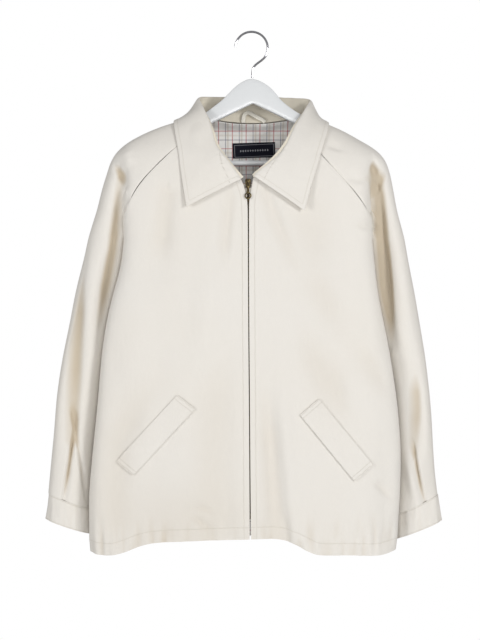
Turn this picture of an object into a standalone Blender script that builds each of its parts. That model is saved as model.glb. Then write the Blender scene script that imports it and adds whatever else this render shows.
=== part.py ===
"""A harrington jacket with raglan sleeves, zipped up and hanging on a wooden hanger.

Sizes are in millimetres until a mesh is made. X runs to the right as the jacket is seen from the front,
Y runs to its back and Z up. The origin is the inner top of the hanger's hook, where a peg carries it.
Every cloth panel is a grid of points on the garment's outer surface, rows running from the hem or cuff
up to the neck, and is closed into a wall by a second grid one cloth thickness further in.
"""

import math

import bpy
import numpy as np
from mathutils import Matrix, Vector
from mathutils.bvhtree import BVHTree

MM = 0.001
LEFT, RIGHT = -1, 1      # sides as seen from the front, the wearer's right and left

# Driving dimensions
WALL = 1.8
COLLAR_WALL = 2.2
SEAM_GAP = 0.3
STAND_GAP = 2.4          # collar stand above the neck edge that it is sewn to
ROUND_OVER = 110.0       # how far in from the outline the shoulder reaches its full depth
ROUND_POWER = 2.4
BODY_EDGE_Y = -22.0      # depth of the torso's side edges
BODY_FRONT_POWER = 3.2
BODY_BACK_POWER = 3.0
SLEEVE_POWER = 2.2
UNDERARM_Z = -374.0
UNDERARM_Y = 5.0
HEM_Z = -905.0
CUFF_HEIGHT = 46.0
CUFF_TOPS = {LEFT: (-845.0, 30.0), RIGHT: (-851.0, 38.0)}   # height at the cuff's middle, rise across it
FRONT_COLUMNS, BACK_COLUMNS, SLEEVE_COLUMNS = 10, 9, 8
BODY_ROWS, SLEEVE_ROWS, CUFF_ROWS = 18, 15, 2

# Outline and depth of the garment at falling heights. out: silhouette, edge: side edge of the torso, at
# the wearer's right (l) and left (r); front, back: depth at the middle; arm: depth of the sleeve's
# outermost line.
SHAPE_COLUMNS = "z out_l out_r edge_l edge_r front back arm"
SHAPE = (
    (-142, -90, 92, -229, 222, 14, 12, 0),
    (-150, -106, 104, -229, 222, 15, 36, 0),
    (-157, -124, 119, -229, 222, 17, 50, 0),
    (-164, -150, 133, -229, 222, 20, 56, 0),
    (-175, -176, 160, -229, 222, 25, 57, 0),
    (-193, -215, 195, -229, 222, 32, 58, 0),
    (-211, -240, 224, -229, 222, 39, 58, 1),
    (-229, -253, 241, -225, 221, 44, 58, 3),
    (-247, -259, 248, -223, 219, 48, 58, 5),
    (-282, -270, 256, -227, 214, 53, 58, 9),
    (-318, -279, 263, -229, 214, 54, 58, 12),
    (-354, -291, 273, -230, 216, 54, 58, 14),
    (-374, -297, 278, -230, 217, 54, 58, 15),
    (-415, -306, 285, -234, 221, 54, 58, 17),
    (-470, -320, 296, -250, 227, 54, 57, 18),
    (-522, -330, 304, -262, 238, 54, 56, 19),
    (-590, -344, 315, -271, 252, 55, 55, 20),
    (-670, -354, 325, -278, 264, 56, 54, 20),
    (-755, -360, 330, -288, 269, 57, 53, 20),
    (-830, -366, 335, -294, 267, 58, 52, 20),
    (-935, -378, 353, -288, 254, 59, 52, 20),
)

# The valley between torso and sleeve opens from here down to the underarm, later on the back.
CREASE_TOP = -200
BACK_CREASE_POWER = 3.4
ARCH = 0.2

# Sleeve below the underarm: hidden: how far its inner edge lies behind the torso's edge, inner: that
# edge's depth, fore and rear: how far the tube swells to the front and to the back.
SLEEVE_RINGS_COLUMNS = "z hidden inner fore rear"
SLEEVE_RINGS = (
    (-374, 5, 5, 26, 46),
    (-400, 6, 27, 37, 43),
    (-430, 9, 33, 40, 42),
    (-520, 10, 35, 42, 41),
    (-650, 6, 34, 41, 40),
    (-780, 6, 33, 38, 36),
    (-835, 6, 31, 34, 32),
    (-850, 6, 31, 33, 31),
    (-900, 7, 31, 35, 32),
)

# Neck seam, front, from the shoulder down to the zip, and back, from the shoulder to the middle.
FRONT_NECK_COLUMNS = "z left right"
FRONT_NECK = (
    (-150, -91, 97),
    (-161, -81, 88),
    (-170, -76, 81),
    (-181, -71, 74),
    (-190, -69, 69),
    (-203, -64, 64),
    (-221, -54, 50),
    (-237, -42, 35),
    (-252, -31, 17),
    (-263, -22, 5),
    (-272, -14, -1),
)
BACK_NECK_COLUMNS = "z left right"
BACK_NECK = ((-150, -86, 90), (-160, -76, 80))
BACK_NECK_DROP = 10.0    # fall of the back neck seam from its corners to the middle

# Raglan seams on the front and the back, as seen from the front.
RAGLAN_COLUMNS = "z front_l front_r back_l back_r"
RAGLAN = (
    (-150, -91, 97, -86, 90),
    (-181, -72, 75, -103, 106),
    (-196, -110, 98, -117, 120),
    (-208, -133, 110, -128, 130),
    (-223, -149, 123, -141, 141),
    (-250, -176, 147, -163, 160),
    (-280, -202, 174, -184, 178),
    (-302, -215, 192, -197, 191.5),
    (-322, -224, 206, -211, 208),
    (-334, -228, 213, -222, 209),
)
RAGLAN_CROSSES_EDGE = -334.0

# Heights of the rows above the underarm, from the top down. The front panels end on FRONT_CORNER and the
# back panel on BACK_CORNER.
LEVELS = (-150, -160, -170, -181, -196, -209, -222, -236, -251, -267, -284, -301, -318, -334, -349,
          -362, -370, UNDERARM_Z)
FRONT_CORNER, RAGLAN_CORNER, BACK_CORNER = -181, -196, -150

# Half the opening between the two front edges, which part round the zip's slider.
PLACKET_COLUMNS = "z middle half"
PLACKET = (
    (-262, -6.6, 7.4),
    (-280, -6.6, 6.8),
    (-294, -6.4, 3.8),
    (-308, -6.1, 1.1),
    (-480, -5.5, 0.8),
    (-693, -3.9, 0.8),
    (-905, -2.5, 1.0),
)

# Height of the hem along the front and along the back.
HEM_COLUMNS = "x front back"
HEM = (
    (-296, -926, -926),
    (-275, -934, -930),
    (-246, -935, -930),
    (-226, -930, -927),
    (-204, -916, -922),
    (-180, -911, -918),
    (-91, -907, -914),
    (-21, -904, -912),
    (55, -902, -913),
    (70, -906, -914),
    (92, -926, -918),
    (108, -932, -922),
    (191, -932, -928),
    (224, -935, -930),
    (244, -930, -928),
    (262, -924, -925),
)

# The largest folds. Each is a trough from one place to another on one face, deepest at its lower end.
# Columns: face x0 z0 x1 z1 half depth
FRONT, BACK = -1, 1
FOLDS = (
    (FRONT, 46, -640, 70, -905, 20, 9),
    (FRONT, 112, -700, 100, -930, 34, -5),
    (FRONT, -196, -720, -208, -915, 22, 8),
    (FRONT, -240, -700, -250, -930, 24, -4),
    (FRONT, -143, -280, -166, -430, 24, 5),
    (FRONT, 120, -300, 190, -520, 24, 5),
    (FRONT, 60, -330, 170, -640, 26, 4),
    (FRONT, 232, -640, 236, -900, 16, 6),
    (FRONT, -300, -440, -335, -700, 13, 7),
    (FRONT, -335, -700, -343, -845, 9, 5),
    (FRONT, 262, -520, 300, -740, 13, 6),
    (FRONT, 312, -720, 318, -848, 9, 5),
    (BACK, -110, -420, -150, -930, 34, 9),
    (BACK, 20, -500, 34, -930, 40, 7),
    (BACK, 150, -380, 172, -930, 32, 9),
    (BACK, -320, -520, -335, -780, 15, 6),
    (BACK, 292, -500, 305, -780, 15, 6),
)

# Collar, from the zip round the wearer's right shoulder to the middle of the back, then the other side.
# roll: the fold where stand turns into leaf, edge: the leaf's outer edge.
COLLAR_SPANS = 2
# Columns: roll_x roll_y roll_z edge_x edge_y edge_z
COLLAR_LEFT = (
    (-18, -57, -268, -115, -62, -318),
    (-36, -57, -244, -119, -60, -297),
    (-52, -52, -222, -122, -58, -279),
    (-62, -46, -209, -126, -53, -252),
    (-68, -38, -190, -130, -44, -220),
    (-74, -31, -167, -135, -28, -191),
    (-83, -18, -144, -140, 0, -158),
    (-91, 2, -125, -136, 30, -162),
    (-94, 23, -113, -120, 46, -166),
    (-80, 40, -109, -92, 57, -172),
    (-48, 50, -108, -54, 63, -175),
    (0, 54, -107, 0, 67, -176),
)
COLLAR_RIGHT = (
    (3, -57, -263, 93, -62, -325),
    (16, -57, -252, 99, -60, -301),
    (34, -54, -237, 106, -58, -276),
    (50, -49, -221, 114, -54, -252),
    (63, -42, -203, 122, -46, -224),
    (75, -33, -175, 131, -29, -196),
    (90, -17, -150, 139, 0, -164),
    (101, 3, -129, 137, 30, -166),
    (107, 25, -117, 123, 46, -169),
    (90, 40, -112, 96, 57, -173),
    (54, 50, -109, 57, 63, -175),
)
LEAF_LIFT = 4.0
ROLL_ROOM = 2.5          # half the room between the walls of stand and leaf just under the roll
LEAF_REACH = 14.0        # only what comes this near to the panels is raised off them
ABOVE_PANELS = (5.8, 4.8, 4.2, 3.9, 3.9, 3.9)   # least height of the roll and each row of the leaf

# Hanging loop: a strip of the shell cloth, from the neck seam up and down again. out: how far it stands
# off the collar stand.
# Columns: x z out
LOOP = (
    (-15, -158, 0.3),
    (-14.5, -150, 2.5),
    (-12, -142, 4.0),
    (-6, -138.5, 4.5),
    (2, -142, 4.5),
    (12, -148, 4.0),
    (20, -152, 2.5),
    (25.5, -156.5, 0.6),
)
LOOP_WIDTH, LOOP_THICK, LOOP_FOOT = 8.0, 1.2, -155.5

# Woven label on the back lining: corners as seen from the front.
LABEL_TOP_LEFT, LABEL_TOP_RIGHT = (-34.5, -192.5), (43.5, -190.0)
LABEL_HEIGHT, LABEL_THICK = 28.0, 0.7
LINING_GAP, LINING_THICK, LINING_INSET = 0.4, 0.9, 3.0
LINING_LOW = -305        # the lining is only made where the neck opening shows it
LAID_GAP = 0.35

# Welt pockets: the ends of the opening edge and how wide the welt lies below it.
# Columns: top_x top_z low_x low_z slant_x slant_z
POCKETS = {
    "pocket_welt_right": (-131, -649, -240, -767, 31, -24),
    "pocket_welt_left": (118, -656, 214, -773, -33, -28),
}
WELT_THICK, WELT_GAP = 2.0, 1.1

# Hanger
HANGER_HALF, HANGER_ROUND = 6.0, 3.5
HANGER_REST = 1.6        # gap between the hanger's top edge and the cloth resting on it
# Columns: x top low
ARMS = (
    (-226, -206, -238),
    (-223, -204, -242),
    (-214.5, -198, -242),
    (-214.2, -198, -224),
    (-205, -193, -220),
    (-183, -185, -212),
    (-150, -171, -200),
    (-111, -159, -182),
    (-97, -152.6, -175.5),
    (-84, -145, -169.5),
    (-61, -128, -158.5),
    (-49, -118, -152.5),
    (-30, -97, -143.5),
    (-12, -85, -135),
    (2.7, -81.8, -127.8),
    (21, -89, -136.5),
    (37, -100.7, -144),
    (50, -118, -150.5),
    (60, -128, -155.5),
    (90, -149.5, -170),
    (120, -165, -184),
    (150, -175, -200),
    (186, -192, -213),
    (200, -200, -221),
    (208.2, -206, -226),
    (208.5, -206, -243),
    (217, -212, -243),
    (220, -215, -239),
)
RIDGE_FROM = 98.0        # further out than this the arms follow the cloth that rests on them
BAR_Z, BAR_RADIUS, BAR_ENDS = -234.4, 5.0, (-213.9, 207.9)
BAR_SIDES = 14
WIRE = 2.0
HOOK_RADIUS = 29.4

# Hook, from its tip over the peg and down to the hanger: the loop's arc, then the bends of the stem.
HOOK_ARC = (176, -36)
# Columns: x z
HOOK_STEM = (
    (19.6, -48.6),
    (14.0, -52.6),
    (8.0, -57.0),
    (3.8, -61.6),
    (2.2, -66.5),
    (1.6, -73.0),
    (1.4, -81.2),
)

# Zip
CHAIN_HALF, CHAIN_THICK = 2.1, 2.0
TAPE_INNER, TAPE_OUTER, TAPE_THICK = 2.5, 14.0, 0.8
TAPE_BESIDE_SLIDER, TAPE_TOP = 6.0, -276.0
ZIP_TOP, ZIP_BOTTOM, ZIP_ROWS = -283.5, -868.0, 21
SLIDER_X = -6.6
# Columns: z half
SLIDER = ((-268.0, 3.4), (-269.5, 5.0), (-273.0, 5.2), (-278.0, 4.6), (-281.5, 4.0), (-283.0, 2.8))
SLIDER_HALF_DEPTH, SLIDER_FORWARD = 3.4, 2.2
BRIDGE_TOP, BRIDGE_LOW, BRIDGE_LEG = -270.5, -279.0, 1.8
BRIDGE_HALF, BRIDGE_RISE, BRIDGE_BAR = 1.4, 3.3, 1.3
PULL_THICK = 1.2
PULL_EYE_HALF, PULL_EYE_HOLE_HALF = 3.0, 1.8
PULL_EYE_LOW, PULL_NECK_HALF = 5.6, 1.7
PULL_REACH, PULL_RING, PULL_RING_HOLE, PULL_RING_SIDES = 23.2, 6.2, 3.9, 20

CLOTH = ("cotton twill", (0.80, 0.75, 0.67), 0.85, 0.0)
LINING = ("checked lining", (0.78, 0.74, 0.70), 0.8, 0.0)
LABEL = ("woven label", (0.03, 0.03, 0.045), 0.8, 0.0)
TAPE = ("zip tape", (0.74, 0.69, 0.60), 0.85, 0.0)
BRASS = ("antique brass", (0.30, 0.23, 0.12), 0.4, 1.0)
WOOD = ("white lacquered wood", (0.86, 0.87, 0.88), 0.3, 0.0)
CHROME = ("chromed wire", (0.75, 0.76, 0.78), 0.15, 1.0)


class Table:
    """Rows of named columns, read between rows by a smooth curve through them."""

    def __init__(self, columns, rows, key):
        names = columns.split()
        values = np.array(rows, float)
        order = np.argsort(values[:, names.index(key)])
        self.key = values[order, names.index(key)]
        self.columns = {n: values[order, i] for i, n in enumerate(names)}

    def __call__(self, name, at):
        """Monotone cubic through the column, held at its ends."""
        x, y = self.key, self.columns[name]
        step = np.diff(x)
        slope = np.diff(y) / step
        tangent = np.zeros(len(x))
        tangent[0], tangent[-1] = slope[0], slope[-1]
        same = slope[1:] * slope[:-1] > 0
        mean = 2 * slope[1:] * slope[:-1] / np.where(same, slope[1:] + slope[:-1], 1)
        tangent[1:-1] = np.where(same, mean, 0)
        at = np.clip(at, x[0], x[-1])
        i = np.clip(np.searchsorted(x, at) - 1, 0, len(step) - 1)
        t = (at - x[i]) / step[i]
        rise = (2 * t**3 - 3 * t**2 + 1) * y[i] + (3 * t**2 - 2 * t**3) * y[i + 1]
        return rise + step[i] * ((t**3 - 2 * t**2 + t) * tangent[i] + (t**3 - t**2) * tangent[i + 1])


shape = Table(SHAPE_COLUMNS, SHAPE, "z")
rings = Table(SLEEVE_RINGS_COLUMNS, SLEEVE_RINGS, "z")
front_neck = Table(FRONT_NECK_COLUMNS, FRONT_NECK, "z")
back_neck = Table(BACK_NECK_COLUMNS, BACK_NECK, "z")
raglan = Table(RAGLAN_COLUMNS, RAGLAN, "z")
placket = Table(PLACKET_COLUMNS, PLACKET, "z")
hem = Table(HEM_COLUMNS, HEM, "x")


def side_name(side):
    return "l" if side == LEFT else "r"


def quarter(t, power):
    """Quarter of a superellipse: 0 at t = 0 with an upright start, 1 from t = 1 on."""
    return (1 - (1 - np.clip(t, 0, 1)) ** power) ** (1 / power)


def spline(points, per_span=10):
    """Catmull-Rom curve through the points, as a dense polyline."""
    p = np.asarray(points, float)
    p = np.vstack((2 * p[0] - p[1], p, 2 * p[-1] - p[-2]))
    t = np.linspace(0, 1, per_span, endpoint=False)[:, None]
    spans = []
    for a, b, c, d in zip(p, p[1:], p[2:], p[3:]):
        bend, twist = 2 * a - 5 * b + 4 * c - d, 3 * b - a - 3 * c + d
        spans.append(0.5 * (2 * b + (c - a) * t + bend * t**2 + twist * t**3))
    return np.vstack((*spans, p[-2]))


def unit(vectors):
    return vectors / np.maximum(np.linalg.norm(vectors, axis=-1, keepdims=True), 1e-9)


def lengths(line):
    return np.concatenate(([0], np.cumsum(np.linalg.norm(np.diff(line, axis=0), axis=1))))


def spread(line, fractions):
    """Points of a polyline at fractions of its length."""
    run = lengths(line)
    at = np.asarray(fractions) * run[-1]
    return np.column_stack([np.interp(at, run, column) for column in line.T])


# Section of the garment at one height, in plan


def open_depth(side, face, x, z):
    """Depth of the garment's face with no valley beside the sleeve."""
    out = shape("out_" + side_name(side), z)
    middle = shape("front" if face == FRONT else "back", z)
    rise = quarter((side * (out - x)) / ROUND_OVER, ROUND_POWER)
    return face * middle * rise + shape("arm", z) * (1 - rise)


def torso_depth(side, face, x, z):
    """Depth of the torso's own face, which runs out at its side edge."""
    edge = shape("edge_" + side_name(side), z)
    middle = shape("front" if face == FRONT else "back", z)
    power = BODY_FRONT_POWER if face == FRONT else BODY_BACK_POWER
    part = np.clip(1 - np.abs(x / edge) ** power, 0, 1) ** (1 / power)
    return BODY_EDGE_Y + (face * middle - BODY_EDGE_Y) * part


def side_seam(side, z):
    """Where the torso's side seam runs, a little behind its side edge."""
    edge = shape("edge_" + side_name(side), z)
    back = shape("back", z)
    part = ((UNDERARM_Y - BODY_EDGE_Y) / (back - BODY_EDGE_Y)) ** BODY_BACK_POWER
    return np.array((edge * (1 - part) ** (1 / BODY_BACK_POWER), UNDERARM_Y))


def sleeve_point(side, face, share, z, inner):
    """Point of the sleeve's tube: share runs from its inner edge, 0, to its outermost line, 1."""
    outer = np.array((shape("out_" + side_name(side), z), shape("arm", z)))
    swell = rings("fore" if face == FRONT else "rear", z)
    round_part = (1 - abs(2 * share - 1) ** SLEEVE_POWER) ** (1 / SLEEVE_POWER)
    return inner + (outer - inner) * share + np.array((0, face * swell * round_part))


SLEEVE_SHARES = (0.06, 0.18, 0.36, 0.58, 0.78, 0.92, 0.98, 1.0)
TORSO_SHARES = (0.0, 0.3, 0.55, 0.74, 0.88, 0.96, 1.0)


def opening(face, z):
    """How far torso and sleeve have parted, 0 in one round shoulder and 1 at the underarm, and how deep
    the valley between them is, which meets the underarm as an arch."""
    above = np.clip((z - UNDERARM_Z) / (CREASE_TOP - UNDERARM_Z), 0, 1)
    power = 1 if face == FRONT else BACK_CREASE_POWER
    parted = (1 - above**1.8) ** 2.2
    deep = (1 - above**1.5) ** 1.5 * (1 - ARCH * above**0.5)
    return parted**power, deep**power


def section(side, face, start_x, z):
    """Half a section above the underarm, from start_x to the outline, as (line, index of torso edge,
    index of valley)."""
    parted, deep = opening(face, z)
    edge = shape("edge_" + side_name(side), z) if face == FRONT else side_seam(side, z)[0]
    out = shape("out_" + side_name(side), z)
    edge_here = edge if abs(edge) < abs(out) - 6 else out - side * 6
    if abs(edge_here) < abs(start_x) + 4:
        edge_here = start_x + 0.5 * (out - start_x)
    valley = side_seam(side, z)
    points = []
    for share in TORSO_SHARES:
        x = start_x + (edge_here - start_x) * share
        y = (1 - parted) * open_depth(side, face, x, z) + parted * torso_depth(side, face, x, z)
        points.append((x, y))
    flat_x = edge_here + side * 5
    if abs(flat_x) > abs(out) - 3:
        flat_x = 0.5 * (edge_here + out)
    flat = np.array((flat_x, open_depth(side, face, flat_x, z)))
    points.append(tuple((1 - deep) * flat + deep * valley))
    for share in SLEEVE_SHARES:
        x = flat_x + (out - flat_x) * share
        plain = np.array((x, open_depth(side, face, x, z)))
        round_one = sleeve_point(side, face, share, max(z, UNDERARM_Z), side_seam(side, UNDERARM_Z))
        points.append(tuple((1 - parted) * plain + parted * round_one))
    edge_index = len(TORSO_SHARES) - 1
    return spline(points), edge_index * 10, (edge_index + 1) * 10


def seam_place(side, face, line, edge_index, valley_index, z):
    """Length along the section at which the raglan seam crosses it."""
    run = lengths(line)
    if z > RAGLAN_CROSSES_EDGE:
        x = raglan(("front_" if face == FRONT else "back_") + side_name(side), z)
        before = side * line[: edge_index + 1, 0]
        return np.interp(side * x, before, run[: edge_index + 1])
    down = (RAGLAN_CROSSES_EDGE - z) / (RAGLAN_CROSSES_EDGE - UNDERARM_Z)
    return run[edge_index] + (run[valley_index] - run[edge_index]) * down


def cut(line, low, high, fractions):
    """Points of a polyline between two lengths along it."""
    run = lengths(line)
    at = low + (high - low) * np.asarray(fractions)
    return np.column_stack([np.interp(at, run, column) for column in line.T])


def at_height(points, z):
    return np.column_stack((points, np.broadcast_to(z, len(points))))


def denser(count, power):
    """Fractions from 0 to 1 that crowd towards 1."""
    t = np.linspace(0, 1, count + 1)
    return 1 - (1 - t) ** power


FRONT_SPREAD = denser(FRONT_COLUMNS, 1.25)
BACK_SPREAD = denser(BACK_COLUMNS, 1.2)
SLEEVE_SPREAD = denser(SLEEVE_COLUMNS, 1.3)


# Panels above the underarm


def front_start(side, z):
    """Where a front row begins: at the front edge, or at the neck seam above it."""
    edge = placket("middle", z) + side * placket("half", z)
    neck = front_neck("left" if side == LEFT else "right", z)
    return edge if z < FRONT_NECK[-1][0] else side * max(side * edge, side * neck)


def upper_rows(side):
    """Rows of one front, one sleeve and half the back, from the underarm up."""
    fronts, sleeves, backs = [], [], []
    corner = None
    for z in reversed(LEVELS):
        line, edge_index, valley_index = section(side, FRONT, front_start(side, z), z)
        whole = lengths(line)[-1]
        seam = seam_place(side, FRONT, line, edge_index, valley_index, z) if z < FRONT_CORNER else 0
        rear, rear_edge, rear_valley = section(side, BACK, 0.0, z)
        rear_whole = lengths(rear)[-1]
        if z <= BACK_CORNER:
            rear_seam = seam_place(side, BACK, rear, rear_edge, rear_valley, z)
        else:
            neck = back_neck("left" if side == LEFT else "right", z)
            rear_seam = np.interp(side * neck, side * rear[:, 0], lengths(rear))
        if z == RAGLAN_CORNER:
            corner = at_height(cut(line, seam, seam, (0,)), z)[0]
        elif z < RAGLAN_CORNER:
            fronts.append(at_height(cut(line, 0, seam, FRONT_SPREAD), z))
        sleeve = cut(line, seam, whole, SLEEVE_SPREAD)
        back_part = cut(rear, rear_seam, rear_whole, SLEEVE_SPREAD)[::-1]
        sleeves.append(at_height(np.vstack((sleeve, back_part[1:])), z))
        if z == FRONT_CORNER:
            start = at_height(cut(line, 0, 0, (0,)), z)[0]
            fronts.append(start + (corner - start) * FRONT_SPREAD[:, None])
        if z <= BACK_CORNER:
            backs.append(at_height(cut(rear, 0, rear_seam, BACK_SPREAD), z))
    return fronts, sleeves, backs


# Panels below the underarm


def front_lower(side):
    rows = []
    for row in range(1, BODY_ROWS + 1):
        part = row / BODY_ROWS
        z = UNDERARM_Z + (HEM_Z - UNDERARM_Z) * part
        start = placket("middle", z) + side * placket("half", z)
        edge = shape("edge_" + side_name(side), z)
        points = [(start + (edge - start) * s, torso_depth(side, FRONT, start + (edge - start) * s, z))
                  for s in TORSO_SHARES]
        line = spline(points + [tuple(side_seam(side, z))])
        flat = cut(line, 0, lengths(line)[-1], FRONT_SPREAD)
        rows.append(at_height(flat, z + (hem("front", flat[:, 0]) - HEM_Z) * part**3))
    return rows


def back_lower(side):
    rows = []
    for row in range(1, BODY_ROWS + 1):
        part = row / BODY_ROWS
        z = UNDERARM_Z + (HEM_Z - UNDERARM_Z) * part
        seam = side_seam(side, z)
        points = [(seam[0] * s, torso_depth(side, BACK, seam[0] * s, z)) for s in TORSO_SHARES]
        line = spline(points)
        flat = cut(line, 0, lengths(line)[-1], BACK_SPREAD)
        rear_hem, fore_hem = hem("back", flat[:, 0]), hem("front", flat[:, 0])
        blend = rear_hem + (fore_hem - rear_hem) * BACK_SPREAD**6
        rows.append(at_height(flat, z + (blend - HEM_Z) * part**3))
    return rows


def sleeve_ring(side, z, tilt):
    """One closed row of the sleeve, from the underarm seam round the front to the seam again."""
    name = side_name(side)
    if z == UNDERARM_Z:
        inner = side_seam(side, z)
    else:
        inner = np.array((shape("edge_" + name, z) - side * rings("hidden", z), rings("inner", z)))
    shares = (0.0, *SLEEVE_SHARES)
    fore = spline([sleeve_point(side, FRONT, s, z, inner) for s in shares])
    rear = spline([sleeve_point(side, BACK, s, z, inner) for s in shares])
    front_part = spread(fore, SLEEVE_SPREAD)
    back_part = spread(rear, SLEEVE_SPREAD)[::-1]
    flat = np.vstack((front_part, back_part[1:]))
    across = (flat[:, 0] - inner[0]) / (shape("out_" + name, z) - inner[0])
    return at_height(flat, z + tilt * (across - 0.5))


def sleeve_lower(side):
    top, tilt = CUFF_TOPS[side]
    rows = []
    for row in range(1, SLEEVE_ROWS + 1):
        part = row / SLEEVE_ROWS
        rows.append(sleeve_ring(side, UNDERARM_Z + (top - UNDERARM_Z) * part**0.95, tilt * part**3))
    return rows


def cuff_rows(side):
    top, tilt = CUFF_TOPS[side]
    return [sleeve_ring(side, top - CUFF_HEIGHT * row / CUFF_ROWS, tilt)
            for row in range(CUFF_ROWS + 1)]


def panels():
    """Every panel of the garment's outer surface, as grids of points from the bottom row up."""
    grids = {}
    halves = {}
    for side, word in ((LEFT, "right"), (RIGHT, "left")):
        fronts, sleeves, backs = upper_rows(side)
        grids["front_" + word] = np.array(front_lower(side)[::-1] + fronts)
        grids["sleeve_" + word] = np.array(sleeve_lower(side)[::-1] + sleeves)
        grids["cuff_" + word] = np.array(cuff_rows(side)[::-1])
        halves[side] = np.array(back_lower(side)[::-1] + backs)
    back = np.concatenate((halves[LEFT][:, ::-1], halves[RIGHT][:, 1:]), axis=1)
    reach = np.clip((back[:, :, 2] - (-260)) / (BACK_CORNER + 260), 0, 1) ** 3
    corner = np.abs(back[-1, 0, 0])
    back[:, :, 2] -= reach * BACK_NECK_DROP * (1 - np.clip(np.abs(back[:, :, 0]) / corner, 0, 1) ** 2)
    grids["back"] = back
    return grids


# Which way the grid's rows and columns turn, so that faces look outwards
TURNS = {"front_right": -1, "front_left": 1, "back": -1, "sleeve_right": -1, "sleeve_left": 1,
         "cuff_right": -1, "cuff_left": 1}


def face_normals(grid):
    a, b, c, d = grid[:-1, :-1], grid[:-1, 1:], grid[1:, 1:], grid[1:, :-1]
    return np.cross(c - a, d - b)


def joint_normals(grids, turns):
    """Outward normals at every grid point, shared by all panels that meet there and weighted by the
    angle of each face's corner."""
    total = {}
    spots = {}
    for name, grid in grids.items():
        spots[name] = [[tuple(np.round(p, 2)) for p in row] for row in grid]
        for i, j in np.ndindex(grid.shape[0] - 1, grid.shape[1] - 1):
            ring = ((i, j), (i, j + 1), (i + 1, j + 1), (i + 1, j))
            for k, (m, n) in enumerate(ring):
                ahead = unit(grid[ring[(k + 1) % 4]] - grid[m, n])
                behind = unit(grid[ring[k - 1]] - grid[m, n])
                cross = np.cross(ahead, behind)
                angle = math.atan2(np.linalg.norm(cross), ahead.dot(behind))
                spot = spots[name][m][n]
                total[spot] = total.get(spot, 0) + unit(cross) * angle * turns[name]
    normals = {}
    for name, grid in grids.items():
        normals[name] = unit(np.array([[total[s] for s in row] for row in spots[name]]))
    return normals


def fold_depths(grid, normals):
    """How far each point sinks in the folds of its face."""
    sunk = np.zeros(grid.shape[:2])
    for face, x0, z0, x1, z1, half, depth in FOLDS:
        run = np.array((x1 - x0, z1 - z0), float)
        span = np.hypot(*run)
        along = ((grid[:, :, 0] - x0) * run[0] + (grid[:, :, 2] - z0) * run[1]) / span**2
        across = ((grid[:, :, 0] - x0) * run[1] - (grid[:, :, 2] - z0) * run[0]) / span
        start = np.clip((along + 0.15) / 0.6, 0, 1)
        finish = np.clip((1.15 - along) / 0.15, 0, 1)
        facing = np.clip(face * normals[:, :, 1] * 1.6, 0, 1)
        sunk += depth * np.exp(-(across / half) ** 2) * start**2 * finish * facing
    return sunk


# Meshes


def material(finish):
    name, colour, roughness, metallic = finish
    made = bpy.data.materials.get(name)
    if made is None:
        made = bpy.data.materials.new(name)
        made.use_nodes = True
        shader = made.node_tree.nodes["Principled BSDF"]
        shader.inputs["Base Color"].default_value = (*colour, 1)
        shader.inputs["Roughness"].default_value = roughness
        shader.inputs["Metallic"].default_value = metallic
    return made


def add_mesh(name, points, faces, finish):
    """An object from points in millimetres."""
    mesh = bpy.data.meshes.new(name)
    mesh.from_pydata([tuple(p) for p in np.asarray(points, float) * MM], [], faces)
    mesh.materials.append(material(finish))
    mesh.shade_smooth()
    made = bpy.data.objects.new(name, mesh)
    bpy.context.collection.objects.link(made)
    return made


def inset(grid, amount):
    """The grid with its border moved in by amount along its own rows and columns."""
    moved = grid.copy()
    for line, inner in ((0, 1), (-1, -2)):
        for axis in (0, 1):
            edge = np.take(grid, line, axis=axis)
            step = np.take(grid, inner, axis=axis) - edge
            size = np.linalg.norm(step, axis=-1, keepdims=True)
            shift = step / np.maximum(size, 1e-6) * np.minimum(amount, 0.4 * size)
            if axis == 0:
                moved[line] += shift
            else:
                moved[:, line] += shift
    return moved


def wall(name, outer, inner, finish, gap=SEAM_GAP):
    """A closed wall between two grids of the same shape."""
    outer, inner = inset(outer, gap / 2), inset(inner, gap)
    turn = np.sum(face_normals(outer) * (outer - inner)[:-1, :-1])
    rows, columns = outer.shape[:2]
    points = np.vstack((outer.reshape(-1, 3), inner.reshape(-1, 3)))
    half = rows * columns

    def at(i, j, layer):
        return layer * half + i * columns + j

    faces = []
    for i in range(rows - 1):
        for j in range(columns - 1):
            front = (at(i, j, 0), at(i, j + 1, 0), at(i + 1, j + 1, 0), at(i + 1, j, 0))
            rear = (at(i, j, 1), at(i + 1, j, 1), at(i + 1, j + 1, 1), at(i, j + 1, 1))
            faces += [front, rear]
    for i in range(rows - 1):
        faces.append((at(i, 0, 0), at(i + 1, 0, 0), at(i + 1, 0, 1), at(i, 0, 1)))
        last = columns - 1
        faces.append((at(i, last, 0), at(i, last, 1), at(i + 1, last, 1), at(i + 1, last, 0)))
    for j in range(columns - 1):
        faces.append((at(0, j, 0), at(0, j, 1), at(0, j + 1, 1), at(0, j + 1, 0)))
        last = rows - 1
        faces.append((at(last, j, 0), at(last, j + 1, 0), at(last, j + 1, 1), at(last, j, 1)))
    if turn < 0:
        faces = [f[::-1] for f in faces]
    return add_mesh(name, points, faces, finish)


def tree(objects):
    """A ray target of several objects' meshes, in millimetres."""
    points, faces = [], []
    for item in objects:
        start = len(points)
        points += [v.co / MM for v in item.data.vertices]
        for polygon in item.data.polygons:
            corners = [start + v for v in polygon.vertices]
            faces += [(corners[0], corners[k], corners[k + 1]) for k in range(1, len(corners) - 1)]
    return BVHTree.FromPolygons(points, faces)


def drop_on(target, x, z, from_y, toward):
    """Depth at which a level line at x, z meets the target, looking along Y."""
    hit = target.ray_cast(Vector((x, from_y, z)), Vector((0, toward, 0)))[0]
    return hit.y if hit else None


def clear_all():
    for item in list(bpy.data.objects):
        bpy.data.objects.remove(item, do_unlink=True)


# Garment


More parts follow.
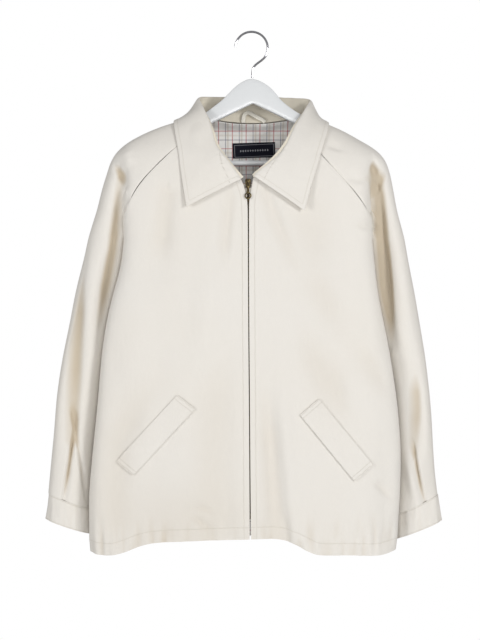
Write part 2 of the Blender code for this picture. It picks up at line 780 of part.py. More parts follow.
def surface_tree(grids):
    """A ray target of the panels' outer surfaces alone, in millimetres."""
    points, faces = [], []
    for name, grid in grids.items():
        start, columns = len(points), grid.shape[1]
        points += [Vector(p) for p in grid.reshape(-1, 3)]
        for i in range(grid.shape[0] - 1):
            for j in range(columns - 1):
                a = start + i * columns + j
                quad = (a, a + 1, a + columns + 1, a + columns)
                quad = quad if TURNS[name] > 0 else quad[::-1]
                faces += [(quad[0], quad[1], quad[2]), (quad[0], quad[2], quad[3])]
    return BVHTree.FromPolygons(points, faces)


def build_garment():
    """Fronts, back, sleeves and cuffs, with the folds pressed in."""
    grids = panels()
    normals = joint_normals(grids, TURNS)
    for name, grid in grids.items():
        grid -= normals[name] * fold_depths(grid, normals[name])[:, :, None]
    normals = joint_normals(grids, TURNS)
    for name, grid in grids.items():
        at_underarm = np.linalg.norm(grid[:, :, 1:] - (UNDERARM_Y, UNDERARM_Z), axis=2) < 0.5
        normals[name][at_underarm] = (0, 0, -1)
    made = {}
    for name, grid in grids.items():
        made[name] = wall(name, grid, grid - normals[name] * WALL, CLOTH)
    return grids, normals, made


# Collar


def neck_line(side, grids, normals):
    """The neck seam from the zip to the middle of the back, read from the panels' top edges and raised
    a little off them."""
    word = "right" if side == LEFT else "left"

    def raised(name, rows, column):
        up_and_out = unit(normals[name][rows, column] + np.array((0, 0, 1.0)))
        return list(grids[name][rows, column] + up_and_out * STAND_GAP)

    front, sleeve = grids["front_" + word][:, :, 2], grids["sleeve_" + word][:, :, 2]
    middle = grids["back"].shape[1] // 2
    half_back = np.arange(1, middle + 1)
    return np.array(
        raised("front_" + word, front[:, 0] > FRONT_NECK[-1][0] - 6, 0)
        + raised("sleeve_" + word, sleeve[:, 0] > FRONT_CORNER, 0)
        + raised("sleeve_" + word, -1, slice(1, None))
        + raised("back", -1, half_back if side == LEFT else -1 - half_back))


def lift(points, spot, height, target):
    """Raise the points at a spot's corners until their middle is a height above the outer surface."""
    middle = Vector(np.mean([points[c] for c in spot], axis=0))
    place, normal, _, _ = target.find_nearest(middle)
    short = height - (middle - place).dot(normal)
    if short > 0 and (middle - place).length < LEAF_REACH:
        for corner in spot:
            points[corner] += np.array(normal) * short


def rest_on(rows, heights, target):
    """Lay rows of points on the panels, both themselves and half way between them."""
    for _ in range(3):
        for k, height in enumerate(heights):
            for j in range(rows.shape[1]):
                lift(rows, [(k, j)], height, target)
                if j:
                    lift(rows, [(k, j), (k, j - 1)], height, target)
                if k:
                    lift(rows, [(k, j), (k - 1, j)], height, target)
                if j and k:
                    lift(rows, [(k, j), (k, j - 1), (k - 1, j), (k - 1, j - 1)], height, target)


def feet(seam, roll):
    """For each station of the roll, the place on the neck seam that it stands on."""
    fractions = np.linspace(0, 1, 400)
    places = spread(seam, fractions)
    found = np.array([fractions[np.argmin(np.linalg.norm(places - r, axis=1))] for r in roll])
    found = np.maximum.accumulate(found)
    found[0], found[-1] = 0, 1
    for _ in range(4):
        found[1:-1] = (found[:-2] + found[1:-1] + found[2:]) / 3
    return spread(seam, found)


def collar_surface(grids, normals):
    """Stand and leaf as one folded surface: rows from the neck seam over the roll to the leaf's edge."""
    target = surface_tree(grids)
    left, right = np.array(COLLAR_LEFT, float), np.array(COLLAR_RIGHT, float)
    around = spline(np.vstack((left, right[::-1])), COLLAR_SPANS)
    middle = (len(left) - 1) * COLLAR_SPANS
    foot = np.vstack((feet(neck_line(LEFT, grids, normals), around[: middle + 1, :3]),
                      feet(neck_line(RIGHT, grids, normals), around[middle:, :3][::-1])[::-1][1:]))
    roll, edge = around[:, :3].copy(), around[:, 3:]
    rest_on(roll[None], ABOVE_PANELS[:1], target)

    along = unit(np.gradient(roll, axis=0))
    leaf_way = unit(edge - roll - along * np.sum((edge - roll) * along, axis=1, keepdims=True))
    stand_way = unit(foot - roll - along * np.sum((foot - roll) * along, axis=1, keepdims=True))
    leaf_out = np.cross(along, leaf_way)
    stand_out = np.cross(stand_way, along)
    half = 0.5 * np.arccos(np.clip(np.sum(leaf_way * stand_way, axis=1, keepdims=True), -1, 1))
    tall = np.linalg.norm(foot - roll, axis=1, keepdims=True)

    def apart(reach):
        """How far a wall must bow out at a distance from the roll to leave room for the other."""
        return np.maximum(0, (COLLAR_WALL + 1.5 - reach * np.sin(half)) / np.maximum(np.cos(half), 0.4))

    near_roll = np.minimum(ROLL_ROOM, 0.3 * tall)
    rows = [foot, foot + (roll - foot) * 0.45 + stand_out * apart(0.55 * tall) * 0.6,
            roll + stand_way * near_roll + stand_out * apart(near_roll), roll,
            roll + leaf_way * ROLL_ROOM + leaf_out * apart(ROLL_ROOM)]
    for share, bulge in ((0.22, 0.75), (0.46, 1.0), (0.72, 0.6), (1.0, 0.0)):
        run = np.linalg.norm(edge - roll, axis=1, keepdims=True) * share
        bow = np.maximum(LEAF_LIFT * bulge, apart(run) * 1.4) if share < 0.5 else LEAF_LIFT * bulge
        rows.append(roll + (edge - roll) * share + leaf_out * bow)
    rows = np.array(rows)
    rest_on(rows[4:], ABOVE_PANELS[1:], target)
    return rows


def build_collar(grids, normals):
    collar = collar_surface(grids, normals)
    parts = {"collar_stand": collar[:4], "collar_leaf": collar[3:]}
    outward = joint_normals(parts, {"collar_stand": 1, "collar_leaf": 1})
    return {name: wall(name, grid, grid - outward[name] * COLLAR_WALL, CLOTH)
            for name, grid in parts.items()}


# Pieces laid on the panels


def laid(name, corner, across, down, counts, target, from_y, gap, thick, finish):
    """A flat piece that follows the surface behind it, looking back along Y from from_y."""
    near, far = [], []
    for i in range(counts[1] + 1):
        row_near, row_far = [], []
        for j in range(counts[0] + 1):
            x, z = np.array(corner) + np.array(across) * j / counts[0] + np.array(down) * i / counts[1]
            y = drop_on(target, x, z, from_y, 1)
            row_far.append((x, y - gap, z))
            row_near.append((x, y - gap - thick, z))
        near.append(row_near)
        far.append(row_far)
    return wall(name, np.array(near), np.array(far), finish, gap=0)


def build_pockets(made):
    for name, (top_x, top_z, low_x, low_z, slant_x, slant_z) in POCKETS.items():
        word = "front_right" if "right" in name else "front_left"
        laid(name, (top_x, top_z), (low_x - top_x, low_z - top_z), (slant_x, slant_z), (10, 2),
             tree([made[word]]), -200, WELT_GAP, WELT_THICK, CLOTH)


def build_lining(grids, normals):
    """The back lining and the label on it; the lining is the back panel's points moved in."""
    rows = [i for i, z in enumerate(grids["back"][:, 0, 2]) if z > LINING_LOW]
    inward = normals["back"][rows]
    face = grids["back"][rows] - inward * (WALL + LINING_GAP)
    lining = wall("lining_back", face, face - inward * LINING_THICK, LINING, gap=LINING_INSET * 2)
    across = np.array(LABEL_TOP_RIGHT) - np.array(LABEL_TOP_LEFT)
    down = np.array((across[1], -across[0])) / np.hypot(*across) * LABEL_HEIGHT
    laid("woven_label", LABEL_TOP_LEFT, across, down, (8, 3), tree([lining]), 0, LAID_GAP,
         LABEL_THICK, LABEL)


def build_loop(stand):
    """The hanging loop: a strip bent over in front of the collar stand."""
    target = tree([stand])
    centre = spline(LOOP, 3)
    run = np.gradient(centre[:, :2], axis=0)
    sideways = np.column_stack((run[:, 1], -run[:, 0])) / np.linalg.norm(run, axis=1, keepdims=True)
    near, far = [], []
    for (x, z, out), side in zip(centre, sideways):
        row_near, row_far = [], []
        for half in (-0.5, 0.0, 0.5):
            px, pz = np.array((x, z)) + side * LOOP_WIDTH * half
            y = drop_on(target, px, max(pz, LOOP_FOOT), 0, 1) - LAID_GAP - out
            row_far.append((px, y, pz))
            row_near.append((px, y - LOOP_THICK, pz))
        near.append(row_near)
        far.append(row_far)
    wall("hanging_loop", np.array(near), np.array(far), CLOTH, gap=0)


# Zip


def inner_depth(target, side, x, z):
    """Depth of a front's inner face at x, or at the nearest place further out where there is cloth."""
    y = None
    while y is None:
        y = drop_on(target, x, z, 0, -1)
        x += side * 1.0
    return y


def deepest_edge(target, z):
    """The further back of the two front edges' inner faces at one height."""
    middle, half = placket("middle", z), placket("half", z)
    return max(inner_depth(target, side, middle + side * (half + 0.8), z) for side in (LEFT, RIGHT))


def build_zip(made):
    target = tree([made["front_left"], made["front_right"]])
    heights = np.linspace(ZIP_TOP, ZIP_BOTTOM, ZIP_ROWS)
    near, far = [], []
    for z in heights:
        middle, y = placket("middle", z), deepest_edge(target, z) + LAID_GAP
        near.append([(middle - CHAIN_HALF, y, z), (middle + CHAIN_HALF, y, z)])
        far.append([(middle - CHAIN_HALF, y + CHAIN_THICK, z), (middle + CHAIN_HALF, y + CHAIN_THICK, z)])
    wall("zip_chain", np.array(near), np.array(far), BRASS, gap=0)
    for side, word in ((LEFT, "right"), (RIGHT, "left")):
        near, far = [], []
        for z in (*np.linspace(TAPE_TOP, TAPE_TOP - 11, 6), *heights[1:]):
            inner = TAPE_BESIDE_SLIDER if z > SLIDER[-1][0] else TAPE_INNER
            row = []
            for reach in (inner, 0.5 * (inner + TAPE_OUTER), TAPE_OUTER):
                x = placket("middle", z) + side * reach
                y = max(inner_depth(target, side, x, z + near_by) for near_by in (-2, 0, 2))
                row.append((x, y + LAID_GAP, z))
            near.append(row)
            far.append([(x, y + TAPE_THICK, z) for x, y, z in row])
        wall("zip_tape_" + word, np.array(near), np.array(far), TAPE, gap=0)
    return deepest_edge(target, SLIDER[-1][0]) + LAID_GAP + CHAIN_THICK / 2 - SLIDER_FORWARD


def box(name, low, high, finish):
    corners = [(x, y, z) for x in (low[0], high[0]) for y in (low[1], high[1]) for z in (low[2], high[2])]
    faces = [(0, 1, 3, 2), (4, 6, 7, 5), (0, 4, 5, 1), (2, 3, 7, 6), (0, 2, 6, 4), (1, 5, 7, 3)]
    return add_mesh(name, corners, faces, finish)


def combine(item, tool, operation):
    """Apply a Boolean and drop the tool."""
    cut_now = item.modifiers.new("combine", "BOOLEAN")
    cut_now.operation = operation
    cut_now.object = tool
    bpy.context.view_layer.update()
    shaped = bpy.data.meshes.new_from_object(item.evaluated_get(bpy.context.evaluated_depsgraph_get()))
    item.modifiers.clear()
    item.data = shaped
    bpy.data.objects.remove(tool, do_unlink=True)


def loft(name, sections, finish):
    """A solid through closed sections of equal counts, capped at both ends."""
    count = len(sections[0])
    points = np.array(sections, float).reshape(-1, 3)
    faces = [tuple(range(count))[::-1], tuple(range(len(points) - count, len(points)))]
    for i in range(len(sections) - 1):
        for j in range(count):
            k = (j + 1) % count
            faces.append((i * count + j, i * count + k, (i + 1) * count + k, (i + 1) * count + j))
    return add_mesh(name, points, faces, finish)


def rounded(half_a, half_b, corner, per_corner=2):
    """Rounded rectangle as (a, b) pairs, anticlockwise."""
    pairs = []
    for quadrant in range(4):
        sign_a = 1 if quadrant in (0, 3) else -1
        sign_b = 1 if quadrant in (0, 1) else -1
        for k in range(per_corner + 1):
            angle = math.radians(90) * (quadrant + k / per_corner)
            pairs.append((sign_a * (half_a - corner) + corner * math.cos(angle),
                          sign_b * (half_b - corner) + corner * math.sin(angle)))
    return pairs


def build_slider(depth):
    """Slider body with its bridge, then the pull that swings on the bridge."""
    sections = []
    for z, half in SLIDER:
        ring = rounded(half, SLIDER_HALF_DEPTH, 1.2)
        sections.append([(SLIDER_X + a, depth + b, z) for a, b in ring][::-1])
    slider = loft("zip_slider", sections, BRASS)
    face = depth - SLIDER_HALF_DEPTH
    bridge = box("bridge", (SLIDER_X - BRIDGE_HALF, face - BRIDGE_RISE, BRIDGE_LOW),
                 (SLIDER_X + BRIDGE_HALF, face + 0.8, BRIDGE_TOP), BRASS)
    hole = box("hole", (SLIDER_X - 4, face - BRIDGE_RISE + BRIDGE_BAR, BRIDGE_LOW + BRIDGE_LEG),
               (SLIDER_X + 4, face, BRIDGE_TOP - BRIDGE_LEG), BRASS)
    combine(bridge, hole, "DIFFERENCE")
    combine(slider, bridge, "UNION")

    hinge_z = 0.5 * (BRIDGE_TOP + BRIDGE_LOW)
    hinge_y = face - 0.5 * (BRIDGE_RISE - BRIDGE_BAR)
    build_pull((SLIDER_X, hinge_y, hinge_z))


def plate(name, outline, low_y, high_y, finish):
    """A flat plate from an outline of (x, z) pairs, anticlockwise seen from the front."""
    count = len(outline)
    points = [(x, low_y, z) for x, z in outline] + [(x, high_y, z) for x, z in outline]
    faces = [tuple(range(count)), tuple(range(2 * count - 1, count - 1, -1))]
    for j in range(count):
        k = (j + 1) % count
        faces.append((k, j, count + j, count + k))
    return add_mesh(name, points, faces, finish)


def build_pull(hinge):
    """Pull: an eye round the bridge, a short tab and a ring, its origin on the hinge."""
    x, y, z = hinge
    bar_half = 0.5
    eye_low = z - PULL_EYE_LOW
    ring_z = z - PULL_REACH
    cheek = [(PULL_EYE_HALF, z + bar_half), (PULL_EYE_HALF, eye_low - 1.0), (PULL_NECK_HALF, eye_low - 2.6)]
    outline = [(x - a, b) for a, b in cheek]
    start = math.asin(PULL_NECK_HALF / PULL_RING)
    for k in range(PULL_RING_SIDES + 1):
        angle = math.radians(90) + start + (2 * math.pi - 2 * start) * k / PULL_RING_SIDES
        outline.append((x + PULL_RING * math.cos(angle), ring_z + PULL_RING * math.sin(angle)))
    outline += [(x + a, b) for a, b in cheek[::-1]]
    half = PULL_THICK / 2
    pull = plate("zip_pull", outline, y - half, y + half, BRASS)
    eye = [(-PULL_EYE_HOLE_HALF, -bar_half), (-PULL_EYE_HOLE_HALF, -PULL_EYE_LOW),
           (PULL_EYE_HOLE_HALF, -PULL_EYE_LOW), (PULL_EYE_HOLE_HALF, -bar_half)]
    combine(pull, plate("eye", [(x + a, z + b) for a, b in eye], y - 3, y + 3, BRASS), "DIFFERENCE")
    hole = []
    for k in range(PULL_RING_SIDES):
        angle = 2 * math.pi * k / PULL_RING_SIDES
        hole.append((x + PULL_RING_HOLE * math.cos(angle), ring_z + PULL_RING_HOLE * math.sin(angle)))
    combine(pull, plate("ring_hole", hole, y - 3, y + 3, BRASS), "DIFFERENCE")
    pull.data.transform(Matrix.Translation(-Vector(hinge) * MM))
    pull.location = Vector(hinge) * MM


# Hanger


def ridge_height(x):
    """Height of the shoulder line over a place along the hanger."""
    name = "out_l" if x < 0 else "out_r"
    heights = np.linspace(SHAPE[0][0], -230, 90)
    reach = np.array([abs(shape(name, z)) for z in heights])
    return np.interp(abs(x), reach, heights)


def build_hanger():
    sections = []
    for x, top, low in ARMS:
        if abs(x) > RIDGE_FROM:
            top = ridge_height(x) - WALL / math.cos(math.radians(27)) - HANGER_REST
        middle, half = 0.5 * (top + low), 0.5 * (top - low)
        sections.append([(x, a, middle + b) for a, b in rounded(HANGER_HALF, half, HANGER_ROUND)])
    loft("hanger_arms", sections, WOOD)
    rod = []
    for x in BAR_ENDS:
        turns = [2 * math.pi * k / BAR_SIDES for k in range(BAR_SIDES)]
        rod.append([(x, BAR_RADIUS * math.cos(a), BAR_Z + BAR_RADIUS * math.sin(a)) for a in turns])
    loft("hanger_bar", rod, WOOD)


def build_hook():
    """The wire hook: a round wire along an arc over the peg and down to the hanger's crown."""
    centre_z = WIRE - HOOK_RADIUS
    path = []
    for turn in np.linspace(*HOOK_ARC, 18):
        angle = math.radians(turn)
        path.append((HOOK_RADIUS * math.cos(angle), centre_z + HOOK_RADIUS * math.sin(angle)))
    path += list(HOOK_STEM)
    wire = bpy.data.curves.new("hanger_hook", "CURVE")
    wire.dimensions = "3D"
    wire.bevel_depth = WIRE * MM
    wire.bevel_resolution = 3
    wire.use_fill_caps = True
    line = wire.splines.new("POLY")
    line.points.add(len(path) - 1)
    for point, (x, z) in zip(line.points, path):
        point.co = (x * MM, 0, z * MM, 1)
    wire.materials.append(material(CHROME))
    made = bpy.data.objects.new("hanger_hook", wire)
    bpy.context.collection.objects.link(made)


def main():
    clear_all()
    grids, normals, made = build_garment()
    collar = build_collar(grids, normals)
    build_lining(grids, normals)
    build_loop(collar["collar_stand"])
    build_pockets(made)
    build_slider(build_zip(made))
    build_hanger()
    build_hook()


main()
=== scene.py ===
import math

import bmesh
import bpy
import numpy as np
from mathutils import Matrix, Vector, noise
from mathutils.bvhtree import BVHTree
from mathutils.kdtree import KDTree


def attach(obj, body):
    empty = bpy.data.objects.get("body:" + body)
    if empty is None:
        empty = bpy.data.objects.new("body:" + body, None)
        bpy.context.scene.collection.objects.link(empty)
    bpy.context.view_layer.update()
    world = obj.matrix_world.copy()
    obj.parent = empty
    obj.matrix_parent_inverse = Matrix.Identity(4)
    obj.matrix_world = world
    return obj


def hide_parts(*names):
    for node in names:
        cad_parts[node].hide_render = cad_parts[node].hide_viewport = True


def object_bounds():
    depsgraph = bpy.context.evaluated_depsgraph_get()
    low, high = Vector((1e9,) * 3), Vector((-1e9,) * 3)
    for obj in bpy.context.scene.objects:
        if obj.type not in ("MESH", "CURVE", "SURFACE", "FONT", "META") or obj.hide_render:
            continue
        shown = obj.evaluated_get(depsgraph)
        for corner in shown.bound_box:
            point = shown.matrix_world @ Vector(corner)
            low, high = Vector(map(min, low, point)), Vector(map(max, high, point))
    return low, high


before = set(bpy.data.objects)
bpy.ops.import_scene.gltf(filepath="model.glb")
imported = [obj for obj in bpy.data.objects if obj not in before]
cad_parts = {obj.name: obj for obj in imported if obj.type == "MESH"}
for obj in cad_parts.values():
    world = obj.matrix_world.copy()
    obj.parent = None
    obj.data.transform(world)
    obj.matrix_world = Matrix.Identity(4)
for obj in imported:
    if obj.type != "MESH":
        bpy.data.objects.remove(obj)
cad_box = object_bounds()
MM = 0.001

# ---------------------------------------------------------------------------
# The room. The jacket hangs in a plain white studio over a pale floor, lit by
# one strong softbox on the right and two weaker ones in front and on the left.
# ---------------------------------------------------------------------------
CAMERA_PLACE = (-0.0207, -2.6, -0.517)
CAMERA_LENS = 81.25
FLOOR_REACH, FLOOR_DROP = 2.0, 0.75
LIGHTS = (
    # name, place, looks at, size, power
    ("softbox_front", (0.2, -3.0, -0.40), (0, 0, -0.5), 0.8, 20),
    ("softbox_left", (-2.2, -1.9, -0.25), (0, 0, -0.55), 0.8, 24),
    ("softbox_right", (1.9, -2.3, 0.05), (0, 0, -0.45), 0.7, 36),
)
SKY_LIGHT, SKY_SEEN = 0.28, 1.0

camera = bpy.data.objects.new("camera", bpy.data.cameras.new("camera"))
camera.location = CAMERA_PLACE
camera.rotation_euler = (math.radians(90), 0, 0)
camera.data.lens = CAMERA_LENS
bpy.context.scene.collection.objects.link(camera)
bpy.context.scene.camera = camera

for name, place, target, size, power in LIGHTS:
    lamp = bpy.data.objects.new(name, bpy.data.lights.new(name, "AREA"))
    lamp.data.shape, lamp.data.size, lamp.data.energy = "SQUARE", size, power
    lamp.location = place
    lamp.rotation_euler = (Vector(target) - Vector(place)).to_track_quat("-Z", "Y").to_euler()
    bpy.context.scene.collection.objects.link(lamp)

sky = bpy.data.worlds.new("studio")
sky.use_nodes = True
nodes, links = sky.node_tree.nodes, sky.node_tree.links
lit, seen = nodes["Background"], nodes.new("ShaderNodeBackground")
for background, strength in ((lit, SKY_LIGHT), (seen, SKY_SEEN)):
    background.inputs["Color"].default_value = (1, 1, 1, 1)
    background.inputs["Strength"].default_value = strength
path, either = nodes.new("ShaderNodeLightPath"), nodes.new("ShaderNodeMixShader")
links.new(path.outputs["Is Camera Ray"], either.inputs[0])
links.new(lit.outputs[0], either.inputs[1])
links.new(seen.outputs[0], either.inputs[2])
links.new(either.outputs[0], nodes["World Output"].inputs["Surface"])
bpy.context.scene.world = sky
bpy.context.scene.view_settings.view_transform = "Standard"

floor_mesh = bpy.data.meshes.new("floor")
level = cad_box[0][2] - FLOOR_DROP
around = ((-1, -1), (1, -1), (1, 1), (-1, 1))
floor_mesh.from_pydata([(x * FLOOR_REACH, y * FLOOR_REACH, level) for x, y in around], [], [(0, 1, 2, 3)])
floor = bpy.data.objects.new("floor", floor_mesh)
bpy.context.scene.collection.objects.link(floor)


class Flow:
    """A value in a material. Arithmetic on it adds the Math nodes."""

    def __init__(self, finish, socket):
        self.finish, self.socket = finish, socket

    def math(self, operation, *values):
        return self.finish.node("ShaderNodeMath", {"operation": operation}, *values)

    def at_least(self, other):
        return self.math("MAXIMUM", self, other)

    def at_most(self, other):
        return self.math("MINIMUM", self, other)

    def __add__(self, other):
        return self.math("ADD", self, other)

    def __sub__(self, other):
        return self.math("SUBTRACT", self, other)

    def __rsub__(self, other):
        return self.math("SUBTRACT", other, self)

    def __mul__(self, other):
        return self.math("MULTIPLY", self, other)

    def __truediv__(self, other):
        return self.math("DIVIDE", self, other)

    def __mod__(self, other):
        return self.math("FLOORED_MODULO", self, other)

    def __lt__(self, other):
        return self.math("LESS_THAN", self, other)

    def __gt__(self, other):
        return self.math("GREATER_THAN", self, other)

    def __abs__(self):
        return self.math("ABSOLUTE", self)

    def sine(self):
        return self.math("SINE", self)

    def band(self, value, half):
        """1 where this is at the value, falling to 0 at half the band's width."""
        return (1 - abs(self - value) / half).at_least(0.0)


class Finish:
    """A material round one Principled shader, whose constants are named as its sockets are."""

    def __init__(self, name, **constants):
        self.material = bpy.data.materials.new(name)
        self.material.use_nodes = True
        self.tree = self.material.node_tree
        self.shader = self.tree.nodes["Principled BSDF"]
        for socket, value in constants.items():
            self.shader.inputs[socket.replace("_", " ").title().replace("Ior", "IOR")].default_value = value

    def node(self, kind, settings, *values, out=0, **named):
        made = self.tree.nodes.new(kind)
        for key, value in settings.items():
            setattr(made, key, value)
        pairs = list(zip(made.inputs, values))
        pairs += [(made.inputs[key.replace("_", " ")], value) for key, value in named.items()]
        for socket, value in pairs:
            if isinstance(value, Flow):
                self.tree.links.new(value.socket, socket)
            else:
                socket.default_value = value
        return Flow(self, made.outputs[out])

    def place(self, scale=(1, 1, 1), turn=(0, 0, 0), shift=(0, 0, 0)):
        here = self.node("ShaderNodeTexCoord", {}, out="Object")
        return self.node("ShaderNodeMapping", {}, Vector=here, Location=shift, Rotation=turn, Scale=scale)

    def axes(self, vector):
        split = self.node("ShaderNodeSeparateXYZ", {}, vector)
        outputs = split.socket.node.outputs
        return [Flow(self, outputs[k]) for k in range(3)]

    def attribute(self, name):
        return self.node("ShaderNodeAttribute", {"attribute_name": name}, out="Fac")

    def noise(self, vector, scale, detail=2.0, roughness=0.5):
        return self.node("ShaderNodeTexNoise", {}, Vector=vector, Scale=scale, Detail=detail,
                         Roughness=roughness)

    def mix(self, factor, first, second):
        made = self.tree.nodes.new("ShaderNodeMix")
        made.data_type = "RGBA"
        for label, value in (("Factor", factor), ("A", first), ("B", second)):
            if isinstance(value, Flow):
                self.tree.links.new(value.socket, made.inputs[label])
            else:
                made.inputs[label].default_value = (*value, 1) if isinstance(value, tuple) else value
        return Flow(self, made.outputs["Result"])

    def feed(self, socket, flow):
        self.tree.links.new(flow.socket, self.shader.inputs[socket])

    def raise_by(self, height, depth, under=None):
        """Bump from a height in metres; under is a bump that this one lies on."""
        bump = self.tree.nodes.new("ShaderNodeBump")
        bump.inputs["Distance"].default_value = depth
        self.tree.links.new(height.socket, bump.inputs["Height"])
        if under:
            self.tree.links.new(under.socket, bump.inputs["Normal"])
        return Flow(self, bump.outputs["Normal"])


pale_floor = Finish("pale floor", base_color=(0.86, 0.86, 0.85, 1), roughness=0.7)
floor_mesh.materials.append(pale_floor.material)

# ---------------------------------------------------------------------------
# The shell: back, two fronts and two raglan sleeves, cut from pale beige cotton
# twill and seamed together. The fronts and back are lined with a woven check,
# the sleeves with plain cloth. Each panel is its own wall, made fine and creased.
# ---------------------------------------------------------------------------
# Levels of smoothing, of creased cloth and of plain pieces.
FINE = 3
PLAIN = 2
# The twill's tone, its warmer yellowed tone, and a warm dark brown that is painted shade in folds and pucker
# dips.
TWILL, TWILL_WARM, TWILL_PAINTED_SHADE = (0.80, 0.775, 0.735), (0.79, 0.75, 0.685), (0.54, 0.45, 0.325)
# A flecked tone, and a dark tone that is painted shade along the groove of each sewn line.
TWILL_FLECK, TWILL_GROOVE_SHADE = (0.55, 0.50, 0.43), (0.50, 0.46, 0.39)
TWILL_PITCH, TWILL_SLANT, DIAGONAL_SHARE = 0.0011, 0.6, 0.6
WEFT_PITCH, WEFT_SLANT = 0.7 * TWILL_PITCH, 0.25
TWILL_BUMP, CRUMPLE_BUMP, GROOVE_BUMP = 0.00004, 0.0012, 0.0010
YELLOW_GRAIN, FLECK_GRAIN, CRUMPLE_GRAIN = 5.0, 900.0, 28.0
FLECK_SHAPE, CRUMPLE_SHAPE = (1, 1, 0.35), (1, 1, 0.6)
# FLECK_SHARE is how much the flecks show; SHADE_PER_METRE and SHADE_MOST set how fast and how far painted
# shade darkens the twill.
FLECK_SHARE, SHADE_PER_METRE, SHADE_MOST = 0.12, 100.0, 0.85
GROOVE_HALF = 0.0008
LINING_TONES = (0.95, 0.945, 0.93), (0.92, 0.90, 0.86)
LINING_WAVES, LINING_BUMP, LINING_GRAIN, LINING_CRUMPLE = 6300.0, 0.00005, 30.0, 45.0
SATIN_GRAIN, SATIN_BUMP = 60.0, 0.001
CHECK_WIDE, CHECK_TALL = 0.0253, 0.0318
CHECK_RED, CHECK_NAVY, CHECK_TAN = (0.50, 0.04, 0.06), (0.05, 0.05, 0.13), (0.52, 0.44, 0.33)
CHECK_LINES = (
    # axis it crosses, pitch, place of one line, half width, colour, strength
    ("x", CHECK_WIDE, -0.0094, 0.0011, CHECK_RED, 1.0),
    ("x", CHECK_WIDE, 0.0033, 0.0010, CHECK_NAVY, 0.85),
    ("x", CHECK_WIDE, 0.0075, 0.0032, CHECK_TAN, 0.45),
    ("z", CHECK_TALL, -0.1704, 0.0010, CHECK_RED, 0.9),
    ("z", CHECK_TALL, -0.1863, 0.0010, CHECK_NAVY, 0.85),
    ("z", CHECK_TALL, -0.1780, 0.0030, CHECK_TAN, 0.35),
)
OUTSIDE, INSIDE, RIM = 0, 1, 2
# Turns between faces: of one layer, of one quad, and at a rim's corner that stays keen.
LAYER_TURN, QUAD_TURN, CORNER_TURN = math.radians(40), math.radians(50), math.radians(35)
# A layer whose faces look out or in by less than this share of its area is a rim.
LAYER_FACING = 0.35
DOUBLES = 1e-6
BODY_AXIS = (0.0, -0.005)
HEM_STITCH, FRONT_STITCH = 0.021, 0.010
# What tells the borders of a panel apart: the hem is low and flat, the zip's edge steep.
HEM_BELOW, ZIP_X, ZIP_NEAR, STEEP = -0.87, -0.005, 0.03, 0.7
SEAM_REACH, SEAM_CLOSED = 0.0025, 0.85
SHELL = {
    # node: (cut width, cut length, area of cloth that shows)
    "back": (0.60, 0.78, 0.373),
    "front_left": (0.30, 0.75, 0.190),
    "front_right": (0.31, 0.75, 0.197),
    "sleeve_left": (0.46, 0.80, 0.163),
    "sleeve_right": (0.46, 0.80, 0.171),
}


def solid_of(node):
    """A node's solid, to be edited, with the points that lie together joined."""
    bm = bmesh.new()
    bm.from_mesh(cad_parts[node].data)
    bmesh.ops.remove_doubles(bm, verts=bm.verts, dist=DOUBLES)
    return bm


def object_from(name, bm):
    """A new object in the scene with an edited mesh."""
    mesh = bpy.data.meshes.new(name)
    bm.to_mesh(mesh)
    bm.free()
    made = bpy.data.objects.new(name, mesh)
    bpy.context.scene.collection.objects.link(made)
    return made


def middle_line(bm, step=0.02):
    """The middle of a tube of cloth at each height, as a function of the height."""
    places = np.array([v.co for v in bm.verts])
    heights = places[:, 2]
    levels = np.arange(heights.min(), heights.max() + step, step)
    middles = []
    for z in levels:
        near = places[np.abs(heights - z) < step]
        middles.append(0.5 * (near.min(0) + near.max(0))[:2])
    middles = np.array(middles)
    return lambda z: (np.interp(z, levels, middles[:, 0]), np.interp(z, levels, middles[:, 1]))


def connected(faces, passes):
    """Groups of faces joined over edges that pass."""
    todo, groups = set(faces), []
    while todo:
        stack, group = [todo.pop()], []
        while stack:
            face = stack.pop()
            group.append(face)
            for edge in face.edges:
                if passes(edge):
                    for other in edge.link_faces:
                        if other in todo:
                            todo.remove(other)
                            stack.append(other)
        groups.append(group)
    return groups


def wall_of(node, axis=None):
    """A node's wall as quads, each face marked outside, inside or rim. The outside looks
    away from the axis, or from the middle of the tube where there is none."""
    bm = solid_of(node)
    bm.normal_update()
    centre = (lambda z: axis) if axis else middle_line(bm)
    for group in connected(bm.faces, lambda edge: edge.calc_face_angle(0) < LAYER_TURN):
        away, area = 0.0, sum(face.calc_area() for face in group)
        for face in group:
            place = face.calc_center_median()
            x, y = centre(place.z)
            away += face.calc_area() * Vector((place.x - x, place.y - y, 0)).normalized().dot(face.normal)
        layer = RIM if abs(away) < LAYER_FACING * area else OUTSIDE if away > 0 else INSIDE
        for face in group:
            face.material_index = layer
    for turn in (QUAD_TURN, math.pi):
        loose = [face for face in bm.faces if len(face.verts) == 3]
        bmesh.ops.join_triangles(bm, faces=loose, cmp_materials=True, angle_face_threshold=turn,
                                 angle_shape_threshold=turn)
    return bm


def fine_piece(name, bm, levels):
    """A smooth fine mesh object from a wall, its rims and their corners kept crisp."""
    crease = bm.edges.layers.float.new("crease_edge")
    for edge in bm.edges:
        layers = {face.material_index for face in edge.link_faces}
        if len(layers) > 1 or layers == {RIM} and edge.calc_face_angle(0) > CORNER_TURN:
            edge[crease] = 1.0
            edge.smooth = False
    piece = object_from(name, bm)
    coarse = piece.data
    smooth = piece.modifiers.new("smooth", "SUBSURF")
    smooth.levels = smooth.render_levels = levels
    fine = bpy.data.meshes.new_from_object(piece.evaluated_get(bpy.context.evaluated_depsgraph_get()))
    piece.modifiers.clear()
    piece.data = fine
    fine.name = name
    bpy.data.meshes.remove(coarse)
    fine.polygons.foreach_set("use_smooth", [True] * len(fine.polygons))
    return piece


